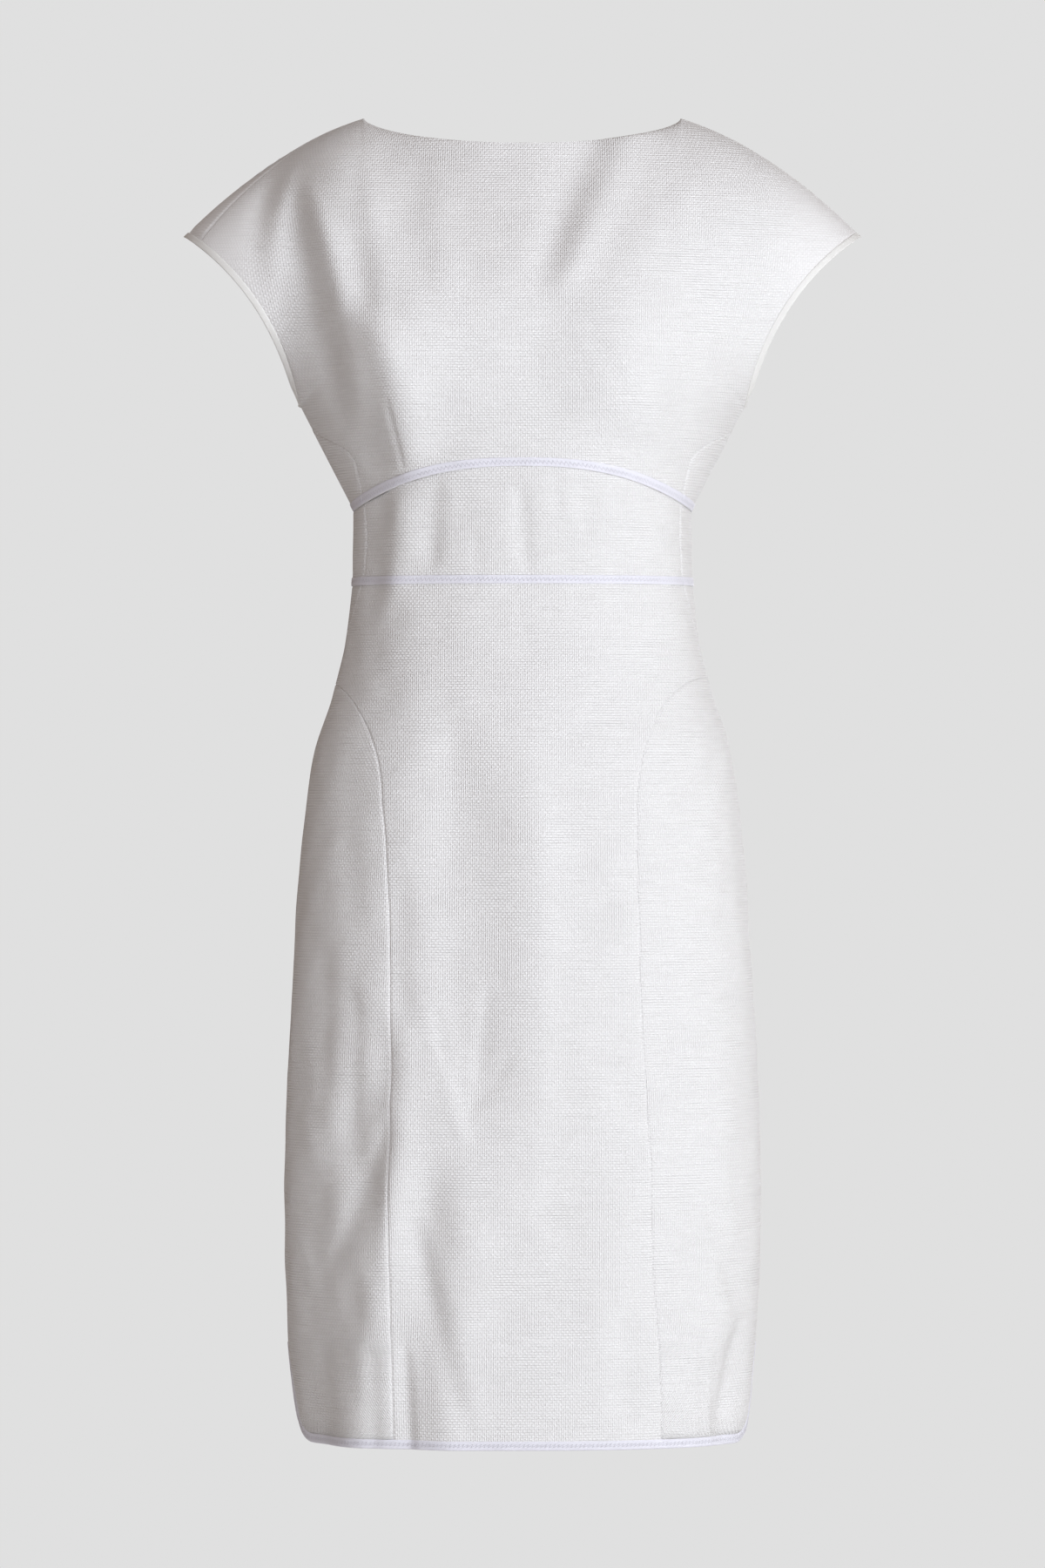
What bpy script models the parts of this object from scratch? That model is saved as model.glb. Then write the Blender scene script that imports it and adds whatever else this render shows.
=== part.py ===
"""Sheath dress: boat neck, cut-on cap sleeves, midriff band, bound hem and side slits.

The dress keeps the hollow form it has when it is worn.  Metres, +Z up.  The front faces
-Y, the wearer's left is +X, and the origin is midway between the two neck points, where
the shoulder seams meet the neckline.
"""

from collections import namedtuple
from math import acos, asin, cos, exp, pi, radians, sin, sqrt

import bmesh
import bpy
from mathutils import Matrix, Vector

# --------------------------------------------------------------------------- sizes

WALL = 0.0012                # cloth
SEAM_GAP = 0.0003            # between neighbouring pieces
TAPE_WIDTH = 0.0060          # under-bust and waist tapes
TAPE_THICK = 0.0009
BINDING_WIDTH = 0.0060       # hem and slits
SLEEVE_BAND_WIDTH = 0.0040
BAND_PROUD = 0.0003          # how far a band stands out of the cloth on each face

FRONT, BACK = -1, 1          # sign of y
RIGHT, LEFT = -1, 1          # sign of x, the wearer's sides

# The body of the dress from the under-bust seam down, as closed rings.  The depths are
# those at the centre front and the centre back; power 2 is an ellipse, more is squarer.
Ring = namedtuple("Ring", "z half_width front back power")
BODY_RINGS = (
    Ring(-0.255, 0.1262, 0.1060, 0.0925, 2.30),
    Ring(-0.297, 0.1266, 0.1010, 0.0885, 2.30),
    Ring(-0.325, 0.1270, 0.0955, 0.0860, 2.30),
    Ring(-0.352, 0.1278, 0.0930, 0.0865, 2.30),
    Ring(-0.396, 0.1333, 0.0985, 0.0985, 2.25),
    Ring(-0.435, 0.1431, 0.1050, 0.1130, 2.25),
    Ring(-0.474, 0.1560, 0.1100, 0.1240, 2.25),
    Ring(-0.533, 0.1644, 0.1140, 0.1310, 2.25),
    Ring(-0.631, 0.1719, 0.1150, 0.1290, 2.25),
    Ring(-0.762, 0.1782, 0.1160, 0.1240, 2.25),
    Ring(-0.860, 0.1784, 0.1160, 0.1215, 2.25),
    Ring(-0.913, 0.1758, 0.1155, 0.1200, 2.25),
    Ring(-0.960, 0.1722, 0.1150, 0.1195, 2.25),
    Ring(-0.995, 0.1675, 0.1150, 0.1190, 2.25),
)
WAIST_Z = -0.3517
HEM_Z = -0.9915

# The under-bust seam arches up at the front and runs level round the back.
BUST_SEAM_SIDE_Z = -0.2954
BUST_SEAM_RISE = 0.0300
BUST_SEAM_POWER = 2.5

# The side seams lie a little to the front of the sides, by a share of a quarter turn.
SideSeam = namedtuple("SideSeam", "z forward")
SIDE_SEAM = (
    SideSeam(-0.2954, 0.25),
    SideSeam(-0.3250, 0.25),
    SideSeam(-0.3520, 0.22),
    SideSeam(-0.3750, 0.14),
    SideSeam(-0.4000, 0.04),
    SideSeam(-0.4150, 0.00),
)

# Curved seams of the skirt front: a rounded start at the side, then a nearly straight
# run down to the hem.
HipSeam = namedtuple("HipSeam", "side start_z knee_z knee_x bluntness run")
Run = namedtuple("Run", "z x")
HIP_SEAMS = (
    HipSeam(RIGHT, -0.4257, -0.5140, 0.1040, 1.5,
            (Run(-0.514, 0.1040), Run(-0.545, 0.1012), Run(-0.694, 0.0982),
             Run(-0.822, 0.0969), Run(-0.992, 0.0960))),
    HipSeam(LEFT, -0.4207, -0.5170, 0.0847, 1.0,
            (Run(-0.517, 0.0847), Run(-0.545, 0.0849), Run(-0.700, 0.0893),
             Run(-0.780, 0.0945), Run(-0.860, 0.0967), Run(-0.900, 0.1000),
             Run(-0.992, 0.1036))),
)

# Side slits, measured from the side line along the cloth.
SLIT_TOP_Z = -0.9130
SLIT_GAPE = 0.0130
CORNER_WIDTH = 0.0300
CORNER_HEIGHT = 0.0230

# Bodice, as two sheets that meet along the shoulders and the side seams.
NECK_HALF = 0.1189
NECK_DROP = Vector((0.0235, 0.0205))          # front, back
NECK_DEPTH = Vector((0.0660, 0.0560))         # front, back
SHOULDER_BEND = Vector((0.1848, -0.0205))
SLEEVE_TIP = Vector((0.2514, -0.0862))        # of the cloth; its band lies beyond
SLEEVE_BEND = Vector((0.1816, -0.1362))
UNDERARM = Vector((0.1669, -0.2174))
SLEEVE_BOW = Vector((0.0560, 0.0600))         # half the armhole's width: front, back
SLEEVE_BOW_RISE = 0.62                        # how soon above the underarm it opens
SLEEVE_POWER = 2.2                            # how the cloth runs out to that edge
SLEEVE_OPENING = 0.45                         # share of the edge over which it opens out
SIDE_FULLNESS = (0.08, 0.70)                  # share of the height: where the sides fill out
ARMHOLE_REACH = 8                             # how close to its edge an armhole shapes them
SIDE_SEAM_SHARE = 0.38                        # of the sheet's side edge
EDGE_PULL = 2.5                               # how the side edge's curve fades inwards
NECK_SHARE = 0.50                             # of the sheet's half top edge
NECK_DIP = 1.15                               # shape of the neckline, 1 is round
NECK_FALL = 1.8                               # how the cloth falls away from it
NECK_SPREAD = 0.40                            # and how far to the sides it does so
CORNER_SOFT = 0.16                            # the corner at the neck point is soft over
CORNER_SOFT_ROWS = 0.34                       # this share across and these rows below it
CORNER_SAMPLES = 13
CHEST_ROW = 0.5                               # above this row a sheet turns over
CHEST_TURN = 0.45                             # share of the height below it
SIDE_SEAM_ROW = SIDE_SEAM_SHARE / CHEST_TURN * CHEST_ROW
SEAM_JOG = (0.12, 0.22)                       # rows: where the side seam steps back
UNDERARM_ROWS = 0.08                          # over which the two sheets part
OPEN_REACH = 0.966                            # an armhole's edge takes the normal here
CLOSED_REACH = 0.9998                         # and a side seam takes the one here
EDGE_BLEND = 0.07                             # share over which an edge's normal settles
CHEST_BLEND = 0.25                            # share over which the bodice leaves the waist

Level = namedtuple("Level", "up front back power")
BODICE_LEVELS = (
    Level(0.00, 0.1060, 0.0925, 2.30),
    Level(0.20, 0.1110, 0.0980, 2.60),
    Level(0.40, 0.1150, 0.1045, 2.90),
    Level(0.60, 0.1130, 0.1060, 3.00),
    Level(0.80, 0.1060, 0.1020, 3.00),
    Level(1.00, 0.0980, 0.0960, 3.00),
)
RIGHT_SHOULDER_FORWARD = 0.13                 # of the upper sheet, at the sleeve tip

Cup = namedtuple("Cup", "x z spread_x spread_z depth")
CUPS = (
    Cup(-0.090, -0.195, 0.052, 0.058, 0.0130),
    Cup(0.090, -0.195, 0.052, 0.058, 0.0130),
)

# Largest folds, each along a line seen from the front (or the back) of the dress.
Fold = namedtuple("Fold", "face x0 z0 x1 z1 width depth")
SKIRT_FOLDS = (
    Fold(FRONT, -0.045, -0.440, -0.040, -0.760, 0.030, 0.0055),
    Fold(FRONT, 0.012, -0.470, 0.016, -0.800, 0.026, -0.0030),
    Fold(FRONT, -0.062, -0.840, -0.045, -0.960, 0.017, 0.0050),
    Fold(FRONT, -0.120, -0.860, -0.112, -0.975, 0.016, 0.0035),
    Fold(FRONT, 0.163, -0.922, 0.146, -0.975, 0.012, 0.0040),
    Fold(BACK, -0.060, -0.620, -0.070, -0.880, 0.030, 0.0045),
    Fold(BACK, 0.066, -0.560, 0.058, -0.820, 0.028, 0.0040),
    Fold(BACK, 0.108, -0.860, 0.098, -0.975, 0.018, 0.0040),
)
MIDRIFF_FOLDS = (
    Fold(FRONT, -0.058, -0.285, -0.060, -0.335, 0.011, 0.0015),
    Fold(FRONT, 0.005, -0.295, 0.006, -0.335, 0.012, 0.0025),
    Fold(FRONT, 0.045, -0.280, 0.044, -0.330, 0.012, 0.0015),
)
BODICE_FOLDS = (
    Fold(FRONT, -0.188, -0.085, -0.190, -0.150, 0.016, 0.0050),
    Fold(FRONT, -0.150, -0.080, -0.142, -0.165, 0.015, 0.0035),
    Fold(FRONT, 0.062, -0.030, 0.022, -0.120, 0.020, 0.0040),
    Fold(FRONT, 0.186, -0.118, 0.172, -0.150, 0.015, 0.0035),
    Fold(BACK, -0.150, -0.090, -0.128, -0.180, 0.020, 0.0040),
    Fold(BACK, 0.158, -0.085, 0.132, -0.170, 0.020, 0.0045),
)

FOLD_FADE = 1.6              # folds die out towards the sides
FOLD_LEAN = 0.6              # and push the cloth this much towards the centre line

# Darts of the front bodice: a stitched tuck that opens towards the under-bust seam.
Dart = namedtuple("Dart", "top_x top_z foot_x foot_z depth")
DARTS = (
    Dart(-0.1010, -0.2100, -0.0865, -0.2690, 0.0011),
    Dart(0.0970, -0.2170, 0.0860, -0.2640, 0.0011),
)
DART_HALF_WIDTH = 0.0060
DART_RUN_ON = 1.2                             # past its foot, in its own length

# Zip at the centre back.
ZIP_HALF_WIDTH = 0.0120
ZIP_THICK = 0.0009
ZIP_INSET = 0.0009           # inside the cloth's inner face
ZIP_END_Z = -0.5300
SLIDER_Z = -0.0330
ZIP_TOP_Z = -0.0380          # the chain ends here, under the slider
GAPE_START_Z = -0.0560       # above it the two backs part round the slider
GAPE_HALF = 0.0016
SLIDER_BODY = Vector((0.0046, 0.0090, 0.0018))   # across, along the zip, in depth
CROWN = Vector((0.0014, 0.0044, 0.0057))         # the loop that holds the pull tab
CROWN_TOP = 0.0037           # above the cloth
CROWN_HOLE = 0.0010
PIN_HEIGHT = 0.0019          # the pull tab's axis, above the cloth
PULL_SLOT = Vector((0.0011, 0.0031))             # half width, depth below the axis
PULL_BAR = 0.00045           # from the axis to the edges of the tab's top bar
PULL_HALF_WIDTH = 0.0024
PULL_END_RADIUS = 0.0032
PULL_LENGTH = 0.0200
PULL_THICK = 0.0010

CLOTH_COLOUR = (0.80, 0.79, 0.77)
TAPE_COLOUR = (0.80, 0.79, 0.88)
METAL_COLOUR = (0.72, 0.72, 0.74)

# Rows and columns of the cloth's grids.
BODICE_COLUMNS = 15          # to each side of the centre line
BACK_WRAP_COLUMNS = 3        # more of them, where a back panel wraps to the front
TAPE_ROW = 0.0285            # the bodice's first row is as wide as the tape
SEAM_ROWS = 6                # on to the underarm
UPPER_ROWS = 11              # and over the shoulder, closer at the underarm
UPPER_CLOSENESS = 1.4
MIDRIFF_ROWS = 4
SKIRT_COLUMNS = 11
SIDE_COLUMNS = 7
BACK_COLUMNS = 13
HEM_COLUMNS = 24
YOKE_ROWS = 4                # from the waist to the start of the hip seams
CURVE_STEPS = (0.0, 0.005, 0.06, 0.15, 0.27, 0.42, 0.60, 0.80, 1.0)   # of a quarter turn
CURVE_ROWS = len(CURVE_STEPS) - 1
RUN_ROWS = 12                # down to the slit's top
SLIT_ROWS = 2
CORNER_ROWS = 5
LOWER_ROWS = CURVE_ROWS + RUN_ROWS + SLIT_ROWS + CORNER_ROWS
YOKE_LIFT = 0.0200           # rows that start at the side rise by this to the middle
SIDE_CLOSENESS = 1.8         # rows lie closer where the side panels start
BINDING_START = 0.25         # of a slit row, where the bindings of front and back meet
ZIP_ROWS = 30


# ----------------------------------------------------------------------- small tools

def clamp(value, low=0.0, high=1.0):
    return max(low, min(high, value))


def mix(first, second, share):
    return first * (1 - share) + second * share


def ease(value):
    value = clamp(value)
    return value * value * (3 - 2 * value)


def read(table, place, column):
    """A column of a table at a place along its first column, on a smooth curve."""
    rows = sorted(table, key=lambda row: row[0])
    places = [row[0] for row in rows]
    values = [getattr(row, column) for row in rows]
    if place <= places[0]:
        return values[0]
    if place >= places[-1]:
        return values[-1]
    k = max(i for i, at in enumerate(places) if at <= place)
    slopes = [(values[i + 1] - values[i]) / (places[i + 1] - places[i])
              for i in range(len(rows) - 1)]
    start = slopes[k] if k == 0 else (slopes[k - 1] + slopes[k]) / 2
    end = slopes[k] if k == len(rows) - 2 else (slopes[k] + slopes[k + 1]) / 2
    span = places[k + 1] - places[k]
    t = (place - places[k]) / span
    return (values[k] * (1 + 2 * t) * (1 - t) ** 2 + start * span * t * (1 - t) ** 2
            + values[k + 1] * t * t * (3 - 2 * t) - end * span * t * t * (1 - t))


def steps(start, end, count):
    return [mix(start, end, i / count) for i in range(count + 1)]


def bend(start, middle, end, t):
    """A point on a curve that leaves start and reaches end along their lines to middle."""
    return start * (1 - t) ** 2 + middle * 2 * t * (1 - t) + end * t * t


def pick(pair, face):
    return pair[0] if face == FRONT else pair[1]


def fold_depth(folds, face, x, z):
    """How far the folds push the cloth inwards at a place seen from the front or back."""
    total = 0.0
    for fold in folds:
        if fold.face != face:
            continue
        run = Vector((fold.x1 - fold.x0, fold.z1 - fold.z0))
        away = Vector((x - fold.x0, z - fold.z0))
        along = clamp(away.dot(run) / run.length_squared)
        distance = (away - run * along).length
        total += fold.depth * exp(-(distance / fold.width) ** 2)
    return total


# ----------------------------------------------------------- the form of the garment

def bust_seam_z(x):
    share = clamp(abs(x) / BODY_RINGS[1].half_width)
    return BUST_SEAM_SIDE_Z + BUST_SEAM_RISE * (1 - share ** BUST_SEAM_POWER)


def body_point(turn, z):
    """The dress below the under-bust seam: turn is 0 at the centre front, 90 degrees
    at the wearer's left side and 180 at the centre back."""
    half = read(BODY_RINGS, z, "half_width")
    power = 2 / read(BODY_RINGS, z, "power")
    face = FRONT if cos(turn) > 0 else BACK
    depth = read(BODY_RINGS, z, "front" if face == FRONT else "back")
    across = abs(sin(turn)) ** power
    out = abs(cos(turn)) ** power
    x = half * across * (1 if sin(turn) >= 0 else -1)
    y = face * depth * out
    inward = fold_depth(MIDRIFF_FOLDS + SKIRT_FOLDS, face, x, z)
    inward *= ease(out * FOLD_FADE)
    centre_pull = Vector((x * FOLD_LEAN, y)).normalized() * inward
    return Vector((x - centre_pull.x, y - centre_pull.y, z))


def body_turn(side, x, z):
    """The turn at which the front of the body is x from the centre, to that side."""
    share = clamp(abs(x) / read(BODY_RINGS, z, "half_width"))
    return side * asin(share ** (read(BODY_RINGS, z, "power") / 2))


def side_turn(side, face, away, z):
    """The turn of a place that lies away from the side line, measured along y."""
    depth = read(BODY_RINGS, z, "front" if face == FRONT else "back")
    back_share = clamp(away / depth) ** (read(BODY_RINGS, z, "power") / 2)
    turn = acos(back_share)
    return side * (turn if face == FRONT else pi - turn)


def normal_of(surface, u, v, step=2e-4):
    """The surface's unit normal, by differences on both sides of a place."""
    across = surface(u + step, v) - surface(u - step, v)
    along = surface(u, v + step) - surface(u, v - step)
    return across.cross(along).normalized()


def body_normal(turn, z):
    return normal_of(body_point, turn, z)


def sheet_climb(row):
    """Share of the sheet's height, and its lean, at a row from 0 to 1."""
    if row <= CHEST_ROW:
        return CHEST_TURN * row / CHEST_ROW, 0.0
    lean = (row - CHEST_ROW) / (1 - CHEST_ROW) * pi / 2
    return CHEST_TURN + (1 - CHEST_TURN) * sin(lean), lean


def sheet_side(up):
    """The sheet's side edge, seen from the front: side seam, then sleeve edge."""
    low = Vector((BODY_RINGS[1].half_width, BUST_SEAM_SIDE_Z))
    if up <= SIDE_SEAM_SHARE:
        return low.lerp(UNDERARM, up / SIDE_SEAM_SHARE)
    t = (up - SIDE_SEAM_SHARE) / (1 - SIDE_SEAM_SHARE)
    return bend(UNDERARM, SLEEVE_BEND, SLEEVE_TIP, t)


def sheet_top(face, across):
    """The sheet's top edge: x, z and depth of the neckline, then the shoulder line."""
    if across <= NECK_SHARE:
        angle = across / NECK_SHARE * pi / 2
        drop = pick(NECK_DROP, face) * abs(cos(angle)) ** NECK_DIP
        return NECK_HALF * sin(angle), -drop, pick(NECK_DEPTH, face) * abs(cos(angle))
    t = (across - NECK_SHARE) / (1 - NECK_SHARE)
    edge = bend(Vector((NECK_HALF, 0.0)), SHOULDER_BEND, sheet_side(1.0), t)
    return edge.x, edge.y, 0.0


def panel_top(face, across, row):
    """The same for a row inside the sheet, where the corner at the neck point is soft."""
    reach = min(CORNER_SOFT, across, 1 - across)
    soft = Vector()
    for offset in steps(-1, 1, CORNER_SAMPLES - 1):
        soft += Vector(sheet_top(face, across + offset * reach)) / CORNER_SAMPLES
    sharp = ease(1 + (row - 1) / CORNER_SOFT_ROWS)
    return soft.lerp(Vector(sheet_top(face, across)), sharp)


BOW_WIDEST = SLEEVE_BOW_RISE / (SLEEVE_BOW_RISE + 0.5)


def bow_share(t):
    """Width of the armhole along its height, as a share of its widest place."""
    most = BOW_WIDEST ** SLEEVE_BOW_RISE * sqrt(1 - BOW_WIDEST)
    return t ** SLEEVE_BOW_RISE * sqrt(1 - t) / most


def sheet_point(face, across, row):
    """A bodice sheet.  Across runs from -1 to 1 and row from 0 at the under-bust seam
    to 1 at the shoulders; past those edges the place is on the other sheet."""
    if row > 1:
        return sheet_point(-face, across, 2 - row)
    side = 1 if across >= 0 else -1
    across = abs(across)
    if across > 1:
        return sheet_point(-face, side * (2 - across), row)
    up, lean = sheet_climb(max(row, 0.0))

    share = sin(across * pi / 2) ** (2 / BODICE_LEVELS[0].power)
    low_x = BODY_RINGS[1].half_width * share
    low_z = bust_seam_z(low_x) if face == FRONT else BUST_SEAM_SIDE_Z
    top_x, top_z, top_depth = panel_top(face, across, row)
    edge = sheet_side(up)
    corner = sheet_side(0.0).lerp(sheet_side(1.0), up)
    pull = across ** EDGE_PULL
    x = mix(low_x, top_x, up) + (edge.x - corner.x) * pull
    z = mix(low_z, top_z, up) + (edge.y - corner.y) * pull

    t = clamp((up - SIDE_SEAM_SHARE) / (1 - SIDE_SEAM_SHARE))
    start, length = SIDE_FULLNESS
    inside = ease((up - start) / length) * bow_share(max(t, BOW_WIDEST))
    bow = pick(SLEEVE_BOW, face) * mix(inside, bow_share(t), across ** ARMHOLE_REACH)
    column = "front" if face == FRONT else "back"
    at_seam = read(BODY_RINGS, low_z, column)
    chest = mix(at_seam, read(BODICE_LEVELS, up, column), ease(up / CHEST_BLEND))
    in_neck = exp(-(across / NECK_SPREAD) ** 2)
    fall = mix(cos(lean), 1 - sin(lean) ** NECK_FALL, in_neck)
    depth = top_depth + (chest - top_depth) * fall
    closed = max(cos(across * pi / 2), 0.0) ** (2 / read(BODICE_LEVELS, up, "power"))
    turned = mix(closed, 1 - across ** SLEEVE_POWER, ease(t / SLEEVE_OPENING))
    depth = bow + (depth - bow) * turned
    if face == FRONT:
        for cup in CUPS:
            reach = ((side * x - cup.x) / cup.spread_x) ** 2 + ((z - cup.z) / cup.spread_z) ** 2
            inside = ease(turned * FOLD_FADE) * ease(up / CHEST_BLEND + 0.25)
            depth += cup.depth * exp(-reach) * inside
    depth -= fold_depth(BODICE_FOLDS, face, side * x, z) * ease(turned * FOLD_FADE)
    return Vector((side * x, face * depth, z))


def sheet_normal(face, across, row):
    """The sheet's normal, turned level with the seam where the two sheets meet."""
    if row > 1:
        return sheet_normal(-face, across, 2 - row)
    if abs(across) > 1:
        side = 1 if across > 0 else -1
        return sheet_normal(-face, side * (2 - abs(across)), row)
    closed = 1 - ease((row - SIDE_SEAM_ROW) / UNDERARM_ROWS)
    reach = mix(OPEN_REACH, CLOSED_REACH, closed)
    u = clamp(across, -reach, reach)
    v = clamp(row, 2e-4, 1 - 2e-4)
    normal = normal_of(lambda a, b: sheet_point(face, a, b), u, v) * -face
    at_side = ease(1 + (abs(across) - 1) / EDGE_BLEND) * closed
    at_shoulder = ease(1 + (row - 1) / EDGE_BLEND) if abs(across) >= NECK_SHARE - 1e-4 else 0.0
    normal.y *= 1 - max(at_side, at_shoulder)
    return normal.normalized()


# ----------------------------------------------------------------------- making solids

def material(name, colour, roughness, metallic=0.0):
    made = bpy.data.materials.new(name)
    made.use_nodes = True
    shader = made.node_tree.nodes["Principled BSDF"]
    shader.inputs["Base Color"].default_value = (*colour, 1.0)
    shader.inputs["Roughness"].default_value = roughness
    shader.inputs["Metallic"].default_value = metallic
    return made


def keep(name, bm, finish, smooth_below=40):
    """Turn a closed bmesh into a named object of the dress."""
    bmesh.ops.recalc_face_normals(bm, faces=bm.faces)
    if bm.calc_volume(signed=True) < 0:
        bmesh.ops.reverse_faces(bm, faces=bm.faces)
    mesh = bpy.data.meshes.new(name)
    bm.to_mesh(mesh)
    bm.free()
    mesh.shade_smooth()
    mesh.set_sharp_from_angle(angle=radians(smooth_below))
    mesh.materials.append(material(name, *finish))
    made = bpy.data.objects.new(name, mesh)
    dress.objects.link(made)
    return made


def trimmed(grid, i, j, trim):
    """A point of a wall's grid; on a seam it moves half a gap into its own piece."""
    columns = len(grid) - 1
    rows = len(grid[0]) - 1
    point, normal = grid[i][j]
    moved = point.copy()
    seams = ((i == 0, 1, 0), (i == columns, -1, 0), (j == 0, 0, 1), (j == rows, 0, -1))
    for asked, (on_seam, step_i, step_j) in zip(trim, seams):
        if asked and on_seam:
            inside = grid[i + step_i][j + step_j][0]
            before = grid[max(i - abs(step_j), 0)][max(j - abs(step_i), 0)][0]
            after = grid[min(i + abs(step_j), columns)][min(j + abs(step_i), rows)][0]
            away = normal.cross(after - before).normalized()
            if away.dot(inside - point) < 0:
                away.negate()
            moved += away * SEAM_GAP / 2
    return moved


def wall(name, finish, columns, rows, place, outer=0.0, inner=-WALL, loop=False,
         trim=(1, 1, 1, 1)):
    """A closed wall laid on place(i, j) -> (point, normal), between two offsets.

    Trim says which edges give half a seam gap: low i, high i, low j, high j.
    """
    grid = [[place(i, j) for j in range(rows + 1)] for i in range(columns + 1)]
    bm = bmesh.new()
    bmesh.ops.create_grid(bm, x_segments=columns, y_segments=rows, size=0.5)
    made = bmesh.ops.extrude_face_region(bm, geom=bm.faces[:], use_keep_orig=True)
    inner_side = {vert for vert in made["geom"] if isinstance(vert, bmesh.types.BMVert)}
    for vert in bm.verts:
        i = round((vert.co.x + 0.5) * columns)
        j = round((vert.co.y + 0.5) * rows)
        offset = inner if vert in inner_side else outer
        vert.co = trimmed(grid, i, j, trim) + grid[i][j][1] * offset
    if loop:
        bmesh.ops.remove_doubles(bm, verts=bm.verts[:], dist=1e-5)
        shared = [face for face in bm.faces if all(len(e.link_faces) > 2 for e in face.edges)]
        bmesh.ops.delete(bm, geom=shared, context="FACES_ONLY")
    return keep(name, bm, finish)


CLOTH = (CLOTH_COLOUR, 0.85)
TAPE = (TAPE_COLOUR, 0.60)
METAL = (METAL_COLOUR, 0.35, 0.9)
SIDE_NAMES = {RIGHT: "right", LEFT: "left"}


# ----------------------------------------------------------------------- bodice

# Rows of both sheets, from the under-bust seam up.
BODICE_ROWS = ([0.0] + steps(TAPE_ROW, SIDE_SEAM_ROW, SEAM_ROWS)
               + [mix(SIDE_SEAM_ROW, 1.0, (k / UPPER_ROWS) ** UPPER_CLOSENESS)
                  for k in range(1, UPPER_ROWS + 1)])


def seam_forward(row):
    """How far a bodice side seam lies on the front sheet, as a share of its half."""
    start, length = SEAM_JOG
    return SIDE_SEAM[0].forward * (1 - ease((row - start) / length))


def shoulder_forward(across, row):
    """How far the right shoulder seam moves a row over the shoulder to the front."""
    rise = ease((row - SIDE_SEAM_ROW) / (1 - SIDE_SEAM_ROW))
    return RIGHT_SHOULDER_FORWARD * clamp((-across - NECK_SHARE) / (1 - NECK_SHARE)) * rise


def front_place(i, j):
    share = i / BODICE_COLUMNS - 1
    row = BODICE_ROWS[j]
    across = share * (1 - seam_forward(row))
    row -= shoulder_forward(across, row)
    point = sheet_point(FRONT, across, row) + Vector((0, dart_depth(across, row), 0))
    return point, sheet_normal(FRONT, across, row)


def dart_depth(across, row):
    spot = sheet_point(FRONT, across, row)
    total = 0.0
    for dart in DARTS:
        run = Vector((dart.foot_x - dart.top_x, dart.foot_z - dart.top_z))
        away = Vector((spot.x - dart.top_x, spot.z - dart.top_z))
        along = away.dot(run) / run.length_squared
        if 0 < along < DART_RUN_ON:
            distance = (away - run * along).length
            total += dart.depth * min(along, 1.0) * clamp(1 - distance / DART_HALF_WIDTH)
    return total


def back_place(side):
    """Columns run from the centre back to the side seam, and on to the front sheet."""
    def place(i, j):
        row = BODICE_ROWS[j]
        forward = seam_forward(row)
        if i <= BODICE_COLUMNS:
            across = i / BODICE_COLUMNS
        else:
            across = 1 + forward * (i - BODICE_COLUMNS) / BACK_WRAP_COLUMNS
        row += shoulder_forward(side * min(across, 1.0), row)
        point = sheet_point(BACK, side * across, row)
        if i == 0:
            point.x += side * zip_gape(point.z)
        return point, sheet_normal(BACK, side * across, row)
    return place


def zip_gape(z):
    return GAPE_HALF * ease((z - GAPE_START_Z) / (ZIP_TOP_Z - GAPE_START_Z))


def make_bodice():
    rows = len(BODICE_ROWS) - 1
    wall("front_bodice", CLOTH, 2 * BODICE_COLUMNS, rows, front_place)
    tape = {"outer": SEAM_GAP + TAPE_THICK, "inner": SEAM_GAP}
    wall("bust_tape_front", TAPE, 2 * BODICE_COLUMNS, 1, front_place, **tape)
    for side in (RIGHT, LEFT):
        name = SIDE_NAMES[side]
        columns = BODICE_COLUMNS + BACK_WRAP_COLUMNS
        wall("back_bodice_" + name, CLOTH, columns, rows, back_place(side))
        wall("bust_tape_back_" + name, TAPE, columns, 1, back_place(side), **tape)
        make_sleeve_band(side)


def make_sleeve_band(side):
    """A closed loop round the armhole, one band's width beyond the panels' edges."""
    rows = [row for row in BODICE_ROWS if row >= SIDE_SEAM_ROW - 1e-9]
    loop = [(FRONT, row - shoulder_forward(side, row)) for row in rows]
    loop += [(BACK, row + shoulder_forward(side, row)) for row in reversed(rows[1:-1])]
    edge = [sheet_point(face, side, row) for face, row in loop]
    count = len(loop)

    def place(i, j):
        face, row = loop[i % count]
        normal = sheet_normal(face, side, row)
        along = edge[(i + 1) % count] - edge[(i - 1) % count]
        away = normal.cross(along).normalized()
        if away.x * side < 0:
            away.negate()
        out = 2 * SEAM_GAP if j == 0 else 2 * SEAM_GAP + SLEEVE_BAND_WIDTH
        return edge[i % count] + away * out, normal

    wall("sleeve_band_" + SIDE_NAMES[side], CLOTH, count, 1, place,
         outer=BAND_PROUD, inner=-WALL - BAND_PROUD, loop=True, trim=(0, 0, 0, 0))


# ----------------------------------------------------------------------- midriff

def midriff_z(top, j):
    if j == MIDRIFF_ROWS + 1:
        return WAIST_Z
    return mix(top, WAIST_Z + TAPE_WIDTH, j / MIDRIFF_ROWS)


def seam_turn(side, z):
    """The turn of a side seam at a height."""
    return side * pi / 2 * (1 - read(SIDE_SEAM, z, "forward"))


def bust_seam_at(turn):
    """Height of the under-bust seam at a turn of the front."""
    across = abs(sin(turn)) ** (2 / BODICE_LEVELS[0].power)
    return bust_seam_z(BODY_RINGS[1].half_width * across)


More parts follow.
